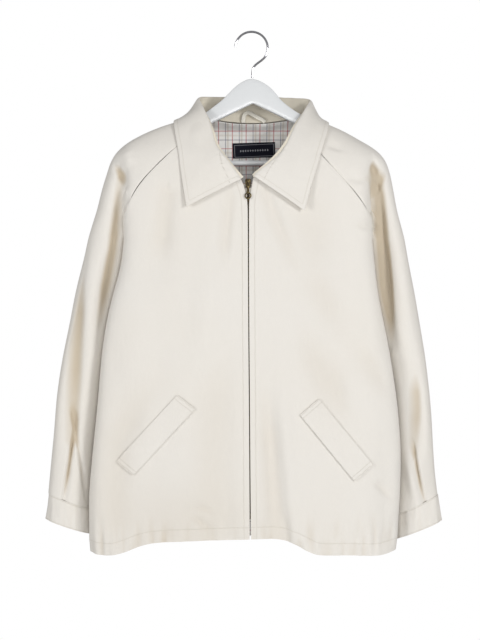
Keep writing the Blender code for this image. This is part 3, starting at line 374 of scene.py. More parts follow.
def outside_of(piece):
    """Points, faces and outward point normals of a piece's outside layer."""
    mesh = piece.data
    places = np.empty(len(mesh.vertices) * 3)
    mesh.vertices.foreach_get("co", places)
    places = places.reshape(-1, 3)
    faces = [p.vertices[:] for p in mesh.polygons if p.material_index == OUTSIDE]
    quads = np.array([f if len(f) == 4 else (*f, f[2]) for f in faces])
    across = np.cross(places[quads[:, 2]] - places[quads[:, 0]], places[quads[:, 3]] - places[quads[:, 1]])
    normals = np.zeros_like(places)
    for corner in range(4):
        np.add.at(normals, quads[:, corner], across)
    used = np.unique(quads)
    normals[used] /= np.maximum(np.linalg.norm(normals[used], axis=1, keepdims=True), 1e-12)
    return places, faces, used, normals


def store(piece, name, values):
    """Keep one number for each point of a piece, for its material."""
    piece.data.attributes.new(name, "FLOAT", "POINT").data.foreach_set("value", values)


def search_tree(spots):
    """A tree that finds the nearest of the spots, and its number among them."""
    tree = KDTree(len(spots))
    for number, spot in enumerate(spots):
        tree.insert(spot, number)
    tree.balance()
    return tree


def move_cloth(piece, amount):
    """Move the whole wall in or out, and store the painted shade that darkens its colour. amount gives both,
    in metres, for the places and normals of the outside's points."""
    places, _, used, normals = outside_of(piece)
    shift, shade = np.zeros(len(places)), np.zeros(len(places))
    shift[used], shade[used] = amount(places[used], normals[used])
    tree, own = search_tree(places[used]), set(used.tolist())
    partner = np.array([i if i in own else used[tree.find(places[i])[1]] for i in range(len(places))])
    moved = places + normals[partner] * shift[partner][:, None]
    piece.data.vertices.foreach_set("co", moved.ravel())
    store(piece, "shade", shade)
    piece.data.update()


def ripple(places, scale, seed=0.0):
    """Smooth noise from -1 to 1 at places, with its own scale along each axis, in metres."""
    scaled = places / np.array(scale) + seed
    return np.array([noise.noise(Vector(p)) for p in scaled])


def border_points(piece, keep, step=0.002):
    """A search tree of points along the outside's own border, on the stretches whose middle and way
    keep passes."""
    places, faces, _, _ = outside_of(piece)
    count = {}
    for face in faces:
        for k in range(len(face)):
            pair = tuple(sorted((face[k - 1], face[k])))
            count[pair] = count.get(pair, 0) + 1
    spots = []
    for (a, b), times in count.items():
        way = places[b] - places[a]
        size = np.linalg.norm(way)
        if times == 1 and size > 0 and keep(0.5 * (places[a] + places[b]), np.abs(way) / size):
            pieces = max(1, int(size / step))
            spots += [places[a] + way * k / pieces for k in range(pieces)]
    return search_tree(spots)


def anywhere(place, way):
    """Passes every stretch of a border."""
    return True


def measure(piece, name, tree):
    """Store each point's distance to a border, in metres, as an attribute."""
    store(piece, name, np.array([tree.find(v.co)[2] for v in piece.data.vertices]))


def twill_finish(name, lines=(), colours=(TWILL, TWILL_WARM)):
    """Cotton twill with slight yellowing, a diagonal weave, a groove at each sewn line that is also darkened
    as painted shade, and painted shade in folds from the shade stored on the piece. lines are (attribute,
    distance, half width, strength) of the sewn lines."""
    cloth = Finish(name, roughness=0.88, sheen_weight=0.15, sheen_roughness=0.5, specular_ior_level=0.25)
    here = cloth.place()
    x, y, z = cloth.axes(here)
    yellow = cloth.noise(here, YELLOW_GRAIN, 3.0)
    fleck = cloth.noise(cloth.place(scale=FLECK_SHAPE), FLECK_GRAIN, 2.0)
    tone = cloth.mix(yellow, *colours)
    tone = cloth.mix(fleck * FLECK_SHARE, tone, TWILL_FLECK)
    # Painted shade: the shade stored on each point darkens the twill towards the warm brown.
    shade = (cloth.attribute("shade") * SHADE_PER_METRE).at_least(0.0).at_most(SHADE_MOST)
    tone = cloth.mix(shade, tone, TWILL_PAINTED_SHADE)
    # Painted shade along each sewn line, which is also bumped in as a groove.
    groove_and_shade = None
    for attribute, distance, half, strength in lines:
        line = cloth.attribute(attribute).band(distance, half) * strength
        groove_and_shade = groove_and_shade.at_least(line) if groove_and_shade else line
    if groove_and_shade:
        tone = cloth.mix(groove_and_shade, tone, TWILL_GROOVE_SHADE)
    cloth.feed("Base Color", tone)
    diagonal = ((x + z + y * TWILL_SLANT) * (2 * math.pi / TWILL_PITCH)).sine()
    weft = ((z - x * WEFT_SLANT) * (2 * math.pi / WEFT_PITCH)).sine()
    weave = diagonal * DIAGONAL_SHARE + weft * (1 - DIAGONAL_SHARE)
    crumple = cloth.noise(cloth.place(scale=CRUMPLE_SHAPE), CRUMPLE_GRAIN, 4.0, 0.55)
    bump = cloth.raise_by(crumple, CRUMPLE_BUMP)
    bump = cloth.raise_by(weave, TWILL_BUMP, bump)
    if groove_and_shade:
        bump = cloth.raise_by(1 - groove_and_shade, GROOVE_BUMP, bump)
    cloth.feed("Normal", bump)
    return cloth.material


def check_finish(name):
    """Cotton lining with fine red and navy lines on cream, woven both ways."""
    lining = Finish(name, roughness=0.75, sheen_weight=0.15, specular_ior_level=0.3)
    here = lining.place()
    x, _, z = lining.axes(here)
    tone = lining.mix(lining.noise(here, LINING_GRAIN, 2.0), *LINING_TONES)
    for axis, pitch, at, half, colour, strength in CHECK_LINES:
        place = x if axis == "x" else z
        line = ((place - at + pitch / 2) % pitch).band(pitch / 2, half)
        tone = lining.mix(line * strength, tone, colour)
    lining.feed("Base Color", tone)
    weave = (x * LINING_WAVES).sine() * 0.5 + (z * LINING_WAVES).sine() * 0.5
    crumple = lining.raise_by(lining.noise(here, LINING_CRUMPLE, 3.0), CRUMPLE_BUMP)
    lining.feed("Normal", lining.raise_by(weave, LINING_BUMP, crumple))
    return lining.material


sleeve_lining = Finish("sleeve lining", roughness=0.5, base_color=(0.70, 0.66, 0.58, 1), sheen_weight=0.1)
rumple = sleeve_lining.noise(sleeve_lining.place(), SATIN_GRAIN, 3.0)
sleeve_lining.feed("Normal", sleeve_lining.raise_by(rumple, SATIN_BUMP))
plain_twill = twill_finish("cotton twill plain")
check = check_finish("checked lining")
# The rows at the hem and beside the zip get painted shade along their grooves.
sewn_twill = twill_finish("cotton twill sewn", (
    ("from_hem", HEM_STITCH, 0.0009, 0.30),
    ("from_front", FRONT_STITCH, 0.0009, 0.25),
))


FOLDS = (
    # part ("both" is fronts and sleeves), half width on either side, depth (raised where negative),
    # strength at both ends, line as seen from the front (x, z), all in millimetres
    ("front", 22, 22, 4.8, 0.3, 0.3, ((106, -427), (152, -533))),
    ("front", 20, 26, 5.6, 0.2, 0.3, ((89, -533), (157, -685))),
    ("front", 12, 12, 3.2, 0.2, 0.2, ((142, -579), (163, -685))),
    ("front", 16, 22, 4.8, 0.2, 0.2, ((187, -560), (247, -648))),
    ("front", 9, 5, 4.0, 0.1, 0.3, ((216, -803), (250, -835))),
    ("front", 14, 20, 8.0, 0.1, 1.0, ((23, -632), (36, -746), (49, -900))),
    ("front", 16, 16, -6.4, 0.1, 1.0, ((48, -605), (74, -900))),
    ("front", 6, 6, 4.8, 0.3, 1.0, ((60, -861), (62, -905))),
    ("front", 14, 20, 5.6, 0.9, 0.1, ((-149, -296), (-162, -411))),
    ("front", 24, 30, 6.4, 0.2, 0.8, ((-171, -618), (-238, -738), (-238, -870))),
    ("front", 7, 4, 3.2, 0.2, 0.3, ((-105, -865), (-79, -886))),
    ("front", 6, 4, 2.6, 0.2, 0.3, ((-100, -849), (-70, -856))),
    ("front", 5, 4, 3.2, 0.2, 1.0, ((-79, -873), (-79, -905))),
    ("front", 8, 14, 4.8, 0.6, 0.1, ((-36, -300), (-44, -360), (-50, -430))),
    ("front", 9, 14, 4.8, 0.8, 0.1, ((24, -290), (48, -350), (84, -430))),
    ("front", 70, 70, 7.0, 0.6, 0.6, ((-225, -885), (-60, -885))),
    ("front", 34, 34, 5.0, 0.5, 0.3, ((100, -300), (122, -430))),
    ("front", 30, 30, -4.8, 0.1, 0.2, ((-70, -380), (-90, -620))),
    ("front", 34, 34, 4.8, 0.1, 0.5, ((-60, -560), (-74, -880))),
    ("both", 10, 5, 2.6, 0.2, 0.2, ((131, -205), (165, -217))),
    ("both", 12, 7, 3.2, 0.2, 0.3, ((166, -267), (212, -268))),
    ("both", 9, 5, 2.6, 0.2, 0.3, ((185, -351), (214, -353))),
    ("sleeve", 12, 4, 6.0, 0.2, 0.2, ((-252, -232), (-240, -253), (-228, -279))),
    ("sleeve", 9, 12, -3.6, 0.1, 0.2, ((-224, -208), (-216, -245))),
    ("sleeve", 15, 22, 8.4, 0.1, 0.7, ((-306, -380), (-314, -553), (-321, -731))),
    ("sleeve", 10, 3, 6.0, 0.3, 0.4, ((-327, -678), (-319, -712))),
    ("sleeve", 7, 2.0, 9.0, 0.1, 0.3, ((-319, -700), (-326, -755), (-340, -844))),
    ("sleeve", 5, 2.5, 5.0, 0.1, 0.3, ((-320, -690), (-310, -749), (-297, -844))),
    ("sleeve", 4, 8, 4.8, 0.2, 0.2, ((219, -228), (226, -263))),
    ("sleeve", 4, 10, 6.0, 0.2, 0.3, ((246, -250), (222, -292))),
    ("sleeve", 12, 18, 17.0, 0.4, 0.2, ((224, -252), (231, -296), (235, -365), (241, -446), (250, -560))),
    ("sleeve", 14, 14, -4.8, 0.2, 0.2, ((255, -300), (268, -420), (284, -560))),
    ("sleeve", 12, 18, 7.2, 0.1, 0.6, ((294, -590), (297, -678), (292, -752))),
    ("sleeve", 2, 8, 9.0, 0.1, 0.3, ((290, -735), (299, -785), (316, -852))),
    ("sleeve", 8, 8, -4.8, 0.1, 0.2, ((278, -750), (297, -850))),
    ("sleeve", 10, 14, 10.5, 0.4, 0.1,
     ((-235, -258), (-238, -318), (-246, -392), (-262, -481), (-278, -562))),
)
# The share of a fold's line over which an end fades, and how soon cloth that faces more and more to
# the front has its folds in full.
FOLD_END, FRONT_GAIN = 0.35, 1.6
# How high the ripples are, and each one's size along x, y and z, with its seed.
SOFT_HIGH, HANGING_HIGH, PUCKER_HIGH = 0.0013, 0.0024, 0.0040
SOFT_RIPPLE = ((0.045, 0.06, 0.12), 3.7)
HANGING_RIPPLE = ((0.05, 0.08, 0.40), 6.3)
PUCKER_RIPPLE = ((0.010, 0.03, 0.07), 9.1)
# Heights at which the ripples begin and reach their full size, and at which the back may move.
HANGING_FROM, HANGING_FULL = -0.33, -0.63
PUCKERS_FROM, PUCKERS_FULL = -0.845, -0.905
LINED_TO, FREE_FROM = -0.30, -0.38
# The zip's middle, and how far from it a front is still and free.
TEETH_X, STILL, FREE = -0.0045, 0.015, 0.035
# How much painted shade the folds get past a least depth, the fronts' folds at any depth, and the dips of
# hem puckers.
FOLD_SHADE, FOLD_SHADE_FROM, FRONT_SHADE, PUCKER_SHADE = 1.6, 0.0032, 0.24, 1.3


def ramp(value, start, end):
    """0 at the start, 1 at the end and past it, even between."""
    return np.clip((value - start) / (end - start), 0, 1)


def fold_depth(places, normals, part):
    """How far the folds on the front of one part sink its points, in metres."""
    flat, total = places[:, [0, 2]] / MM, np.zeros(len(places))
    for on, half, other_half, depth, first, last, line in FOLDS:
        if on != part and on != "both":
            continue
        line = np.array(line, float)
        near, side, along, run = np.full(len(flat), np.inf), np.zeros(len(flat)), np.zeros(len(flat)), 0.0
        for start, end in zip(line, line[1:]):
            way = end - start
            size = np.linalg.norm(way)
            share = (flat - start) @ way / size**2
            off = flat - start - np.clip(share, 0, 1)[:, None] * way
            gap = np.linalg.norm(off, axis=1)
            closer = gap < near
            near = np.where(closer, gap, near)
            side = np.where(closer, way[0] * off[:, 1] - way[1] * off[:, 0], side)
            along = np.where(closer, run + np.clip(share, 0, 1) * size, along)
            run += size
        along /= run
        wide = np.where(side > 0, half, other_half)
        fade_in = first + (1 - first) * ramp(along, 0, FOLD_END)
        fade_out = last + (1 - last) * ramp(1 - along, 0, FOLD_END)
        total += depth * np.exp(-(near / wide) ** 2) * fade_in * fade_out
    return total * MM * np.clip(-FRONT_GAIN * normals[:, 1], 0, 1)


def close_seam(piece, others):
    """Bring a panel's rims up to the panels that it is sewn to, given as trees of their faces."""
    mesh = piece.data
    rim = {index for polygon in mesh.polygons if polygon.material_index == RIM for index in polygon.vertices}
    for index in rim:
        place = mesh.vertices[index].co
        hits = [hit for hit in (tree.find_nearest(place, SEAM_REACH) for tree in others) if hit[0]]
        if hits:
            mesh.vertices[index].co = place.lerp(min(hits, key=lambda hit: hit[3])[0], SEAM_CLOSED)
    mesh.update()


def shell_folds(part):
    """What moves a part: its folds, puckers at the hem stitching, and soft ripples that hang down it; and
    how much painted shade darkens its folds and the puckers' dips. A front is still at the zip, and the back
    where the lining lies on it."""
    def amount(places, normals):
        height = places[:, 2]
        soft = SOFT_HIGH * ripple(places, *SOFT_RIPPLE)
        hanging = HANGING_HIGH * ramp(height, HANGING_FROM, HANGING_FULL) * ripple(places, *HANGING_RIPPLE)
        hem = ramp(height, PUCKERS_FROM, PUCKERS_FULL) ** 2
        pucker = PUCKER_HIGH * hem * ripple(places, *PUCKER_RIPPLE)
        depth = fold_depth(places, normals, part)
        # Painted shade, darker where the folds sink deeper.
        free, shade = 1.0, FOLD_SHADE * (depth - FOLD_SHADE_FROM)
        if part == "front":
            free = ramp(np.abs(places[:, 0] - TEETH_X), STILL, FREE)
            shade = FRONT_SHADE * depth + PUCKER_SHADE * np.clip(-pucker, 0, None)
        elif part == "back":
            free = ramp(height, LINED_TO, FREE_FROM)
        return (soft + hanging + pucker - depth) * free, shade
    return amount


def repeater():
    """Node group that sets an item on every point, its X along "way" and its Z along "up"."""
    group = bpy.data.node_groups.new("repeat", "GeometryNodeTree")
    for label, kind in (("Points", "Geometry"), ("Item", "Object"), ("Finish", "Material")):
        group.interface.new_socket(label, in_out="INPUT", socket_type="NodeSocket" + kind)
    group.interface.new_socket("Geometry", in_out="OUTPUT", socket_type="NodeSocketGeometry")
    given, done = group.nodes.new("NodeGroupInput"), group.nodes.new("NodeGroupOutput")
    item, turn = group.nodes.new("GeometryNodeObjectInfo"), group.nodes.new("FunctionNodeAxesToRotation")
    turn.primary_axis, turn.secondary_axis = "Z", "X"
    for socket, attribute in ((0, "up"), (1, "way")):
        named = group.nodes.new("GeometryNodeInputNamedAttribute")
        named.data_type = "FLOAT_VECTOR"
        named.inputs["Name"].default_value = attribute
        group.links.new(named.outputs["Attribute"], turn.inputs[socket])
    placed = group.nodes.new("GeometryNodeInstanceOnPoints")
    real = group.nodes.new("GeometryNodeRealizeInstances")
    covered = group.nodes.new("GeometryNodeSetMaterial")
    for source, output, target, socket in (
            (given, "Item", item, "Object"), (given, "Points", placed, "Points"),
            (item, "Geometry", placed, "Instance"), (turn, "Rotation", placed, "Rotation"),
            (placed, "Instances", real, "Geometry"), (real, "Geometry", covered, "Geometry"),
            (given, "Finish", covered, "Material"), (covered, "Geometry", done, "Geometry")):
        group.links.new(source.outputs[output], target.inputs[socket])
    return group


REPEATER = repeater()


def repeat(name, places, ways, ups, item, material):
    """One mesh object of an item set at every place. The item itself is used up."""
    mesh = bpy.data.meshes.new(name)
    mesh.from_pydata([tuple(p) for p in places], [], [])
    for label, vectors in (("way", ways), ("up", ups)):
        kept = mesh.attributes.new(label, "FLOAT_VECTOR", "POINT")
        kept.data.foreach_set("vector", np.asarray(vectors, float).ravel())
    piece = bpy.data.objects.new(name, mesh)
    bpy.context.scene.collection.objects.link(piece)
    rule = piece.modifiers.new("repeat", "NODES")
    rule.node_group = REPEATER
    inputs = [socket for socket in REPEATER.interface.items_tree if socket.in_out == "INPUT"]
    identifiers = {socket.name: socket.identifier for socket in inputs}
    rule[identifiers["Item"]], rule[identifiers["Finish"]] = item, material
    made = bpy.data.meshes.new_from_object(piece.evaluated_get(bpy.context.evaluated_depsgraph_get()))
    piece.modifiers.clear()
    piece.data = made
    made.shade_smooth()
    bpy.data.objects.remove(item, do_unlink=True)
    return piece


THREAD = Finish("thread", roughness=0.7, base_color=(0.74, 0.70, 0.62, 1), specular_ior_level=0.3)
STITCH_LONG, STITCH_WIDE, STITCH_PITCH, STITCH_PROUD = 0.0023, 0.00055, 0.0031, 0.00008
SHORTEST_ROW = 0.012
STITCH_SEGMENTS, STITCH_RINGS = 6, 4


def contours(piece, label, value):
    """Lines along which an attribute of a piece's outside has one value, each with its normals."""
    places, faces, _, normals = outside_of(piece)
    field = np.empty(len(places))
    piece.data.attributes[label].data.foreach_get("value", field)
    quads = np.array([f if len(f) == 4 else (*f, f[2]) for f in faces])
    above = field[quads] > value
    spots, links = {}, {}
    for quad in quads[above.any(1) & ~above.all(1)]:
        crossed = []
        for a, b in zip(quad, np.roll(quad, -1)):
            if (field[a] > value) != (field[b] > value):
                low, high = min(a, b), max(a, b)
                share = (value - field[low]) / (field[high] - field[low])
                spots[low, high] = np.concatenate([of[low] + (of[high] - of[low]) * share
                                                   for of in (places, normals)])
                crossed.append((low, high))
        if len(crossed) == 2:
            for here, there in (crossed, crossed[::-1]):
                links.setdefault(here, []).append(there)
    lines, seen = [], set()
    for start in sorted(links, key=lambda spot: len(links[spot])):
        chain = []
        while start is not None and start not in seen:
            seen.add(start)
            chain.append(spots[start])
            start = next((spot for spot in links[start] if spot not in seen), None)
        if len(chain) > 2:
            lines.append(np.array(chain))
    return lines


def stitches(piece, rows):
    """Raised stitches along rows, given as (attribute, distance), of a piece."""
    places, ways, ups = [], [], []
    for label, value in rows:
        for line in contours(piece, label, value):
            run = np.concatenate(([0], np.cumsum(np.linalg.norm(np.diff(line[:, :3], axis=0), axis=1))))
            if run[-1] < SHORTEST_ROW:
                continue
            at = np.arange(STITCH_PITCH / 2, run[-1], STITCH_PITCH)
            back, here, on = (np.column_stack([np.interp(at + along, run, column) for column in line.T])
                              for along in (-STITCH_LONG / 2, 0, STITCH_LONG / 2))
            places += list(here[:, :3] + here[:, 3:] * STITCH_PROUD)
            ways += list(on[:, :3] - back[:, :3])
            ups += list(here[:, 3:])
    bm = bmesh.new()
    bmesh.ops.create_uvsphere(bm, u_segments=STITCH_SEGMENTS, v_segments=STITCH_RINGS, radius=0.5)
    bmesh.ops.scale(bm, vec=(STITCH_LONG, STITCH_WIDE, STITCH_WIDE), verts=bm.verts)
    name = "stitches_" + piece.name.replace("cloth_", "")
    return repeat(name, places, ways, ups, object_from("stitch", bm), THREAD.material)


def stand_for(node, slot, *pieces, body="jacket"):
    """Hide the node that the pieces stand for and attach them to the body they ride. slot, what they are
    made of, is not used.
    """
    for piece in pieces:
        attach(piece, body)
        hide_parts(node)


def one_finish(piece, material):
    """Cover a whole piece, outside, inside and rim, with one material."""
    piece.data.materials.append(material)
    for polygon in piece.data.polygons:
        polygon.material_index = 0


def at_hem(place, way):
    """Whether a stretch of border lies along the hem."""
    return place[2] < HEM_BELOW and way[2] < STEEP


def at_zip(place, way):
    """Whether a stretch of border lies along the zip."""
    return abs(place[0] - ZIP_X) < ZIP_NEAR and place[1] < 0 and way[2] > STEEP


body_panels = []
for node, (width, length, area) in SHELL.items():
    part = node.split("_")[0]
    piece = fine_piece("cloth_" + node, wall_of(node, None if part == "sleeve" else BODY_AXIS), FINE)
    move_cloth(piece, shell_folds(part))
    rows = []
    if part == "sleeve":
        close_seam(piece, body_panels)
        finishes = (plain_twill, sleeve_lining.material, plain_twill)
    else:
        corners, faces = [v.co for v in piece.data.vertices], [p.vertices[:] for p in piece.data.polygons]
        body_panels.append(BVHTree.FromPolygons(corners, faces))
        finishes = (sewn_twill, check, sewn_twill)
        measure(piece, "from_hem", border_points(piece, at_hem))
        rows.append(("from_hem", HEM_STITCH))
    if part == "front":
        measure(piece, "from_front", border_points(piece, at_zip))
        rows.append(("from_front", FRONT_STITCH))
    for material in finishes:
        piece.data.materials.append(material)
    sewn = [stitches(piece, rows)] if rows else []
    stand_for(node, "cotton twill", piece, *sewn)

# ---------------------------------------------------------------------------
# The cuffs: a plain band of doubled twill sewn round each sleeve's end, finely
# puckered, with a row of stitches close to each edge.
# ---------------------------------------------------------------------------
CUFF_STITCH = 0.002
# How high the cuff's puckers are, and how much painted shade their dips get.
CUFF_HIGH, CUFF_SHADE = 0.0013, 0.0012
CUFF_FINE, CUFF_SOFT = ((0.009, 0.012, 0.05), 5.3), ((0.03, 0.03, 0.04), 1.2)
# The cuff's stitch rows get painted shade along their grooves.
cuff_twill = twill_finish("cotton twill cuff", (("from_edge", CUFF_STITCH, GROOVE_HALF, 0.3),))


def cuff_folds(places, normals):
    """Fine puckers that run along the sleeve, a softer unevenness, and painted shade in the puckers' dips.
    """
    fine = ripple(places, *CUFF_FINE)
    return CUFF_HIGH * (fine + ripple(places, *CUFF_SOFT)), CUFF_SHADE * np.clip(-fine, 0, 1)


for node in ("cuff_left", "cuff_right"):
    piece = fine_piece("cloth_" + node, wall_of(node), FINE + 1)
    move_cloth(piece, cuff_folds)
    measure(piece, "from_edge", border_points(piece, anywhere))
    for material in (cuff_twill, sleeve_lining.material, cuff_twill):
        piece.data.materials.append(material)
    sewn = stitches(piece, [("from_edge", CUFF_STITCH)])
    stand_for(node, "cotton twill", piece, sewn)

# ---------------------------------------------------------------------------
# The collar: a stand sewn round the neck and a pointed leaf that turns down over
# it, both of doubled twill, puckered at the seam between them, with one row of
# stitching inside the leaf's edges.
# ---------------------------------------------------------------------------
COLLAR_AXIS = (0.0, -0.01)
COLLAR_STITCH = 0.0075
COLLAR_HIGH, COLLAR_PUCKER, PUCKER_REACH = 0.0016, 0.0020, 0.007
COLLAR_SOFT, COLLAR_FINE = ((0.03, 0.04, 0.05), 7.7), ((0.007, 0.007, 0.007), 2.2)
# What tells the leaf's free edges from its other borders: they lie away from the roll and from the
# stand, or below it, at the points.
ROLL_NEAR, STAND_NEAR, POINTS_BELOW = 0.007, 0.006, -0.27
COLLAR = {
    # node: (cut width, cut length, area)
    "collar_leaf": (0.62, 0.105, 0.048),
    "collar_stand": (0.48, 0.045, 0.0155),
}
COLLAR_ROLL = (
    # where each half of the leaf turns over at the neck, as seen from the front (x, z), in millimetres
    ((-94, -124), (-82, -150), (-66, -188), (-50, -226), (-35, -251), (-16, -270)),
    ((105, -131), (88, -153), (72, -182), (56, -216), (35, -238), (16, -254), (2, -266)),
)
COLLAR_SEAMS = (
    # where each half of the leaf is joined to the stand, seen the same way
    ((-39, -276), (-44, -262), (-52, -245), (-57, -222)),
    ((21, -270), (33, -247), (50, -223), (57, -212)),
)
# The stand's twill is a darker, warmer copy of the twill: painted shade inside the neck.
STAND_SHADED_TONES = (0.77, 0.72, 0.61), (0.75, 0.69, 0.57)
# The leaf's stitch row and its seam with the stand get painted shade along their grooves.
leaf_twill = twill_finish("cotton twill leaf", (
    ("from_edge", COLLAR_STITCH, GROOVE_HALF, 0.22), ("from_seam", 0.0, 0.0014, 0.5)))
shaded_stand_twill = twill_finish("cotton twill stand", (), STAND_SHADED_TONES)


def from_lines(places, lines):
    """Distance of places from lines, as seen from the front, in metres."""
    flat, near = places[:, [0, 2]] / MM, np.full(len(places), np.inf)
    for line in lines:
        line = np.array(line, float)
        for start, end in zip(line, line[1:]):
            way = end - start
            share = np.clip((flat - start) @ way / (way @ way), 0, 1)
            near = np.minimum(near, np.linalg.norm(flat - start - share[:, None] * way, axis=1))
    return near * MM


def collar_folds(places, normals):
    """Uneven cloth, only ever away from what lies under it, and puckers at the seam."""
    near_seam = np.exp(-from_lines(places, COLLAR_SEAMS) / PUCKER_REACH)
    pucker = near_seam * np.abs(ripple(places, *COLLAR_FINE))
    return COLLAR_HIGH * np.abs(ripple(places, *COLLAR_SOFT)) + COLLAR_PUCKER * pucker, 0.0


stand_corners = search_tree([v.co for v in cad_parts["collar_stand"].data.vertices])


def at_free_edge(place, way):
    """Whether a stretch of the leaf's border is one of its free edges."""
    from_roll = from_lines(np.array([place]), COLLAR_ROLL)[0]
    return from_roll > ROLL_NEAR and (stand_corners.find(place)[2] > STAND_NEAR or place[2] < POINTS_BELOW)


for node, (width, length, area) in COLLAR.items():
    leaf = node == "collar_leaf"
    piece = fine_piece("cloth_" + node, wall_of(node, COLLAR_AXIS), FINE if leaf else PLAIN)
    move_cloth(piece, collar_folds)
    sewn = []
    if leaf:
        measure(piece, "from_edge", border_points(piece, at_free_edge))
        store(piece, "from_seam", from_lines(np.array([v.co for v in piece.data.vertices]), COLLAR_SEAMS))
        sewn.append(stitches(piece, [("from_edge", COLLAR_STITCH)]))
    one_finish(piece, leaf_twill if leaf else shaded_stand_twill)
    stand_for(node, "cotton twill", piece, *sewn)

# ---------------------------------------------------------------------------
# The pockets: a slanted welt on each front, a folded strip of twill, stitched
# down twice at each of its short ends.
# ---------------------------------------------------------------------------
FRONT_VIEW = (0.0, 1.0)
WELT_STITCHES = (0.002, 0.008)
WELT_HIGH, WELT_SOFT = 0.0004, ((0.012, 0.02, 0.012), 2.9)
# The way in which a welt's short ends run: how much across the jacket, from and to, and how much up.
END_LEAST, END_MOST, END_RISE = 0.65, 0.95, 0.69
# The welt's stitch rows get painted shade along their grooves.
welt_twill = twill_finish("cotton twill welt", [
    ("from_end", distance, GROOVE_HALF, 0.3) for distance in WELT_STITCHES])


def welt_folds(places, normals):
    """A welt lies on its front and goes in and out with it, with the front's painted shade."""
    front, shade = shell_folds("front")(places, normals)
    return front + WELT_HIGH * np.abs(ripple(places, *WELT_SOFT)), shade


def at_welt_end(place, way):
    """Whether a stretch of a welt's border lies at a short end."""
    return END_LEAST < way[0] < END_MOST and way[2] < END_RISE


for node in ("pocket_welt_left", "pocket_welt_right"):
    piece = fine_piece("cloth_" + node, wall_of(node, FRONT_VIEW), FINE)
    move_cloth(piece, welt_folds)
    measure(piece, "from_end", border_points(piece, at_welt_end))
    sewn = stitches(piece, [("from_end", distance) for distance in WELT_STITCHES])
    one_finish(piece, welt_twill)
    stand_for(node, "cotton twill", piece, sewn)

# ---------------------------------------------------------------------------
# Inside the neck: the back lining, of the same woven check, a dark woven label
# with a thin pale frame and a plain woven row, and a hanging loop of twill.
# ---------------------------------------------------------------------------
LINING_HIGH, LINING_SOFT = 0.0012, ((0.02, 1, 0.03), 4.4)
LABEL_MIDDLE = (0.00535, -0.20575)
LABEL_TILT = math.radians(2.5)
LABEL_HALF = (0.0399, 0.0143)
LABEL_DARK, LABEL_PALE = (0.012, 0.013, 0.022), (0.50, 0.51, 0.54)
# The label's frame, set in from its edges, and its row of dots, each a small lozenge.
FRAME_INSET, FRAME_HALF, FRAME_STRENGTH = (0.004, 0.0035), 0.0006, 0.8
DOT_PITCH, DOT_HALF, DOT_TAPER, DOTS_REACH, DOT_STRENGTH = 0.0045, 0.0016, 450.0, 0.026, 0.75
LABEL_WAVES, LABEL_BUMP = 9000.0, 0.00008
# A paler copy of the twill for the loop: painted light that sets it off against the shaded stand.
LOOP_LIT_TONES = (0.88, 0.85, 0.77), (0.86, 0.82, 0.72)


def lining_folds(places, normals):
    """Uneven lining, away from the back; the label goes with it."""
    return LINING_HIGH * np.abs(ripple(places * (1, 0, 1), *LINING_SOFT)), 0.0


piece = fine_piece("cloth_lining_back", wall_of("lining_back", FRONT_VIEW), PLAIN)
move_cloth(piece, lining_folds)
one_finish(piece, check)
stand_for("lining_back", "checked lining", piece)

label_weave = Finish("woven label", roughness=0.9, specular_ior_level=0.15)
shift = -(Matrix.Rotation(LABEL_TILT, 3, "Y") @ Vector((LABEL_MIDDLE[0], 0, LABEL_MIDDLE[1])))
across, _, up = label_weave.axes(label_weave.place(turn=(0, LABEL_TILT, 0), shift=shift))
past_side = abs(across) - (LABEL_HALF[0] - FRAME_INSET[0])
past_top = abs(up) - (LABEL_HALF[1] - FRAME_INSET[1])
rule = past_side.at_least(past_top).band(0.0, FRAME_HALF)
dots = (across % DOT_PITCH).band(DOT_PITCH / 2, DOT_HALF) - abs(up) * DOT_TAPER
row = (dots > 0.0) * (abs(across) < DOTS_REACH)
pale = (rule * FRAME_STRENGTH).at_least(row * DOT_STRENGTH)
label_weave.feed("Base Color", label_weave.mix(pale, LABEL_DARK, LABEL_PALE))
threads = (across * LABEL_WAVES).sine() * 0.5 + (up * LABEL_WAVES).sine() * 0.5
label_weave.feed("Normal", label_weave.raise_by(threads + pale, LABEL_BUMP))
piece = fine_piece("cloth_woven_label", wall_of("woven_label", FRONT_VIEW), PLAIN)
move_cloth(piece, lining_folds)
one_finish(piece, label_weave.material)
stand_for("woven_label", "woven label", piece)

# Painted light over the loop, and a painted shadow outline along its edges.
loop_twill_painted_light_and_shadow = twill_finish("cotton twill loop", (("from_edge", 0.0, 0.0011, 0.9),), LOOP_LIT_TONES)
piece = fine_piece("cloth_hanging_loop", wall_of("hanging_loop", FRONT_VIEW), PLAIN)
measure(piece, "from_edge", border_points(piece, anywhere))
one_finish(piece, loop_twill_painted_light_and_shadow)
stand_for("hanging_loop", "cotton twill", piece)

# ---------------------------------------------------------------------------
# The zip: two woven tapes behind the front edges, a row of metal teeth on each
# tape that lock into each other, and a dark brass slider with its ringed pull.
# ---------------------------------------------------------------------------
TAPE_TONES = (0.74, 0.70, 0.62), (0.68, 0.63, 0.54)
TAPE_GRAIN, BRASS_GRAIN = 300.0, 420.0
RIBS_ACROSS, RIBS_UP, RIB_BUMP = 7000.0, 5200.0, 0.00006
TOOTH_PITCH, TOOTH_TALL, TOOTH_DEEP, TOOTH_BEVEL = 0.0026, 0.0015, 0.0019, 0.00025
TOOTH_OUT, TOOTH_PAST = 0.0026, 0.0007
TEETH = (
    # side, where in the pitch they begin, from and to where across the zip
    ("right", 0.0, -TOOTH_OUT, TOOTH_PAST),
    ("left", 0.5, -TOOTH_PAST, TOOTH_OUT),
)
SAME_HEIGHT = 1e-4
BRASS_DARK, BRASS_WORN = (0.040, 0.030, 0.019), (0.26, 0.20, 0.09)
WORN_FROM, WORN_GAIN, BRASS_BUMP = 0.45, 4.0, 0.00015
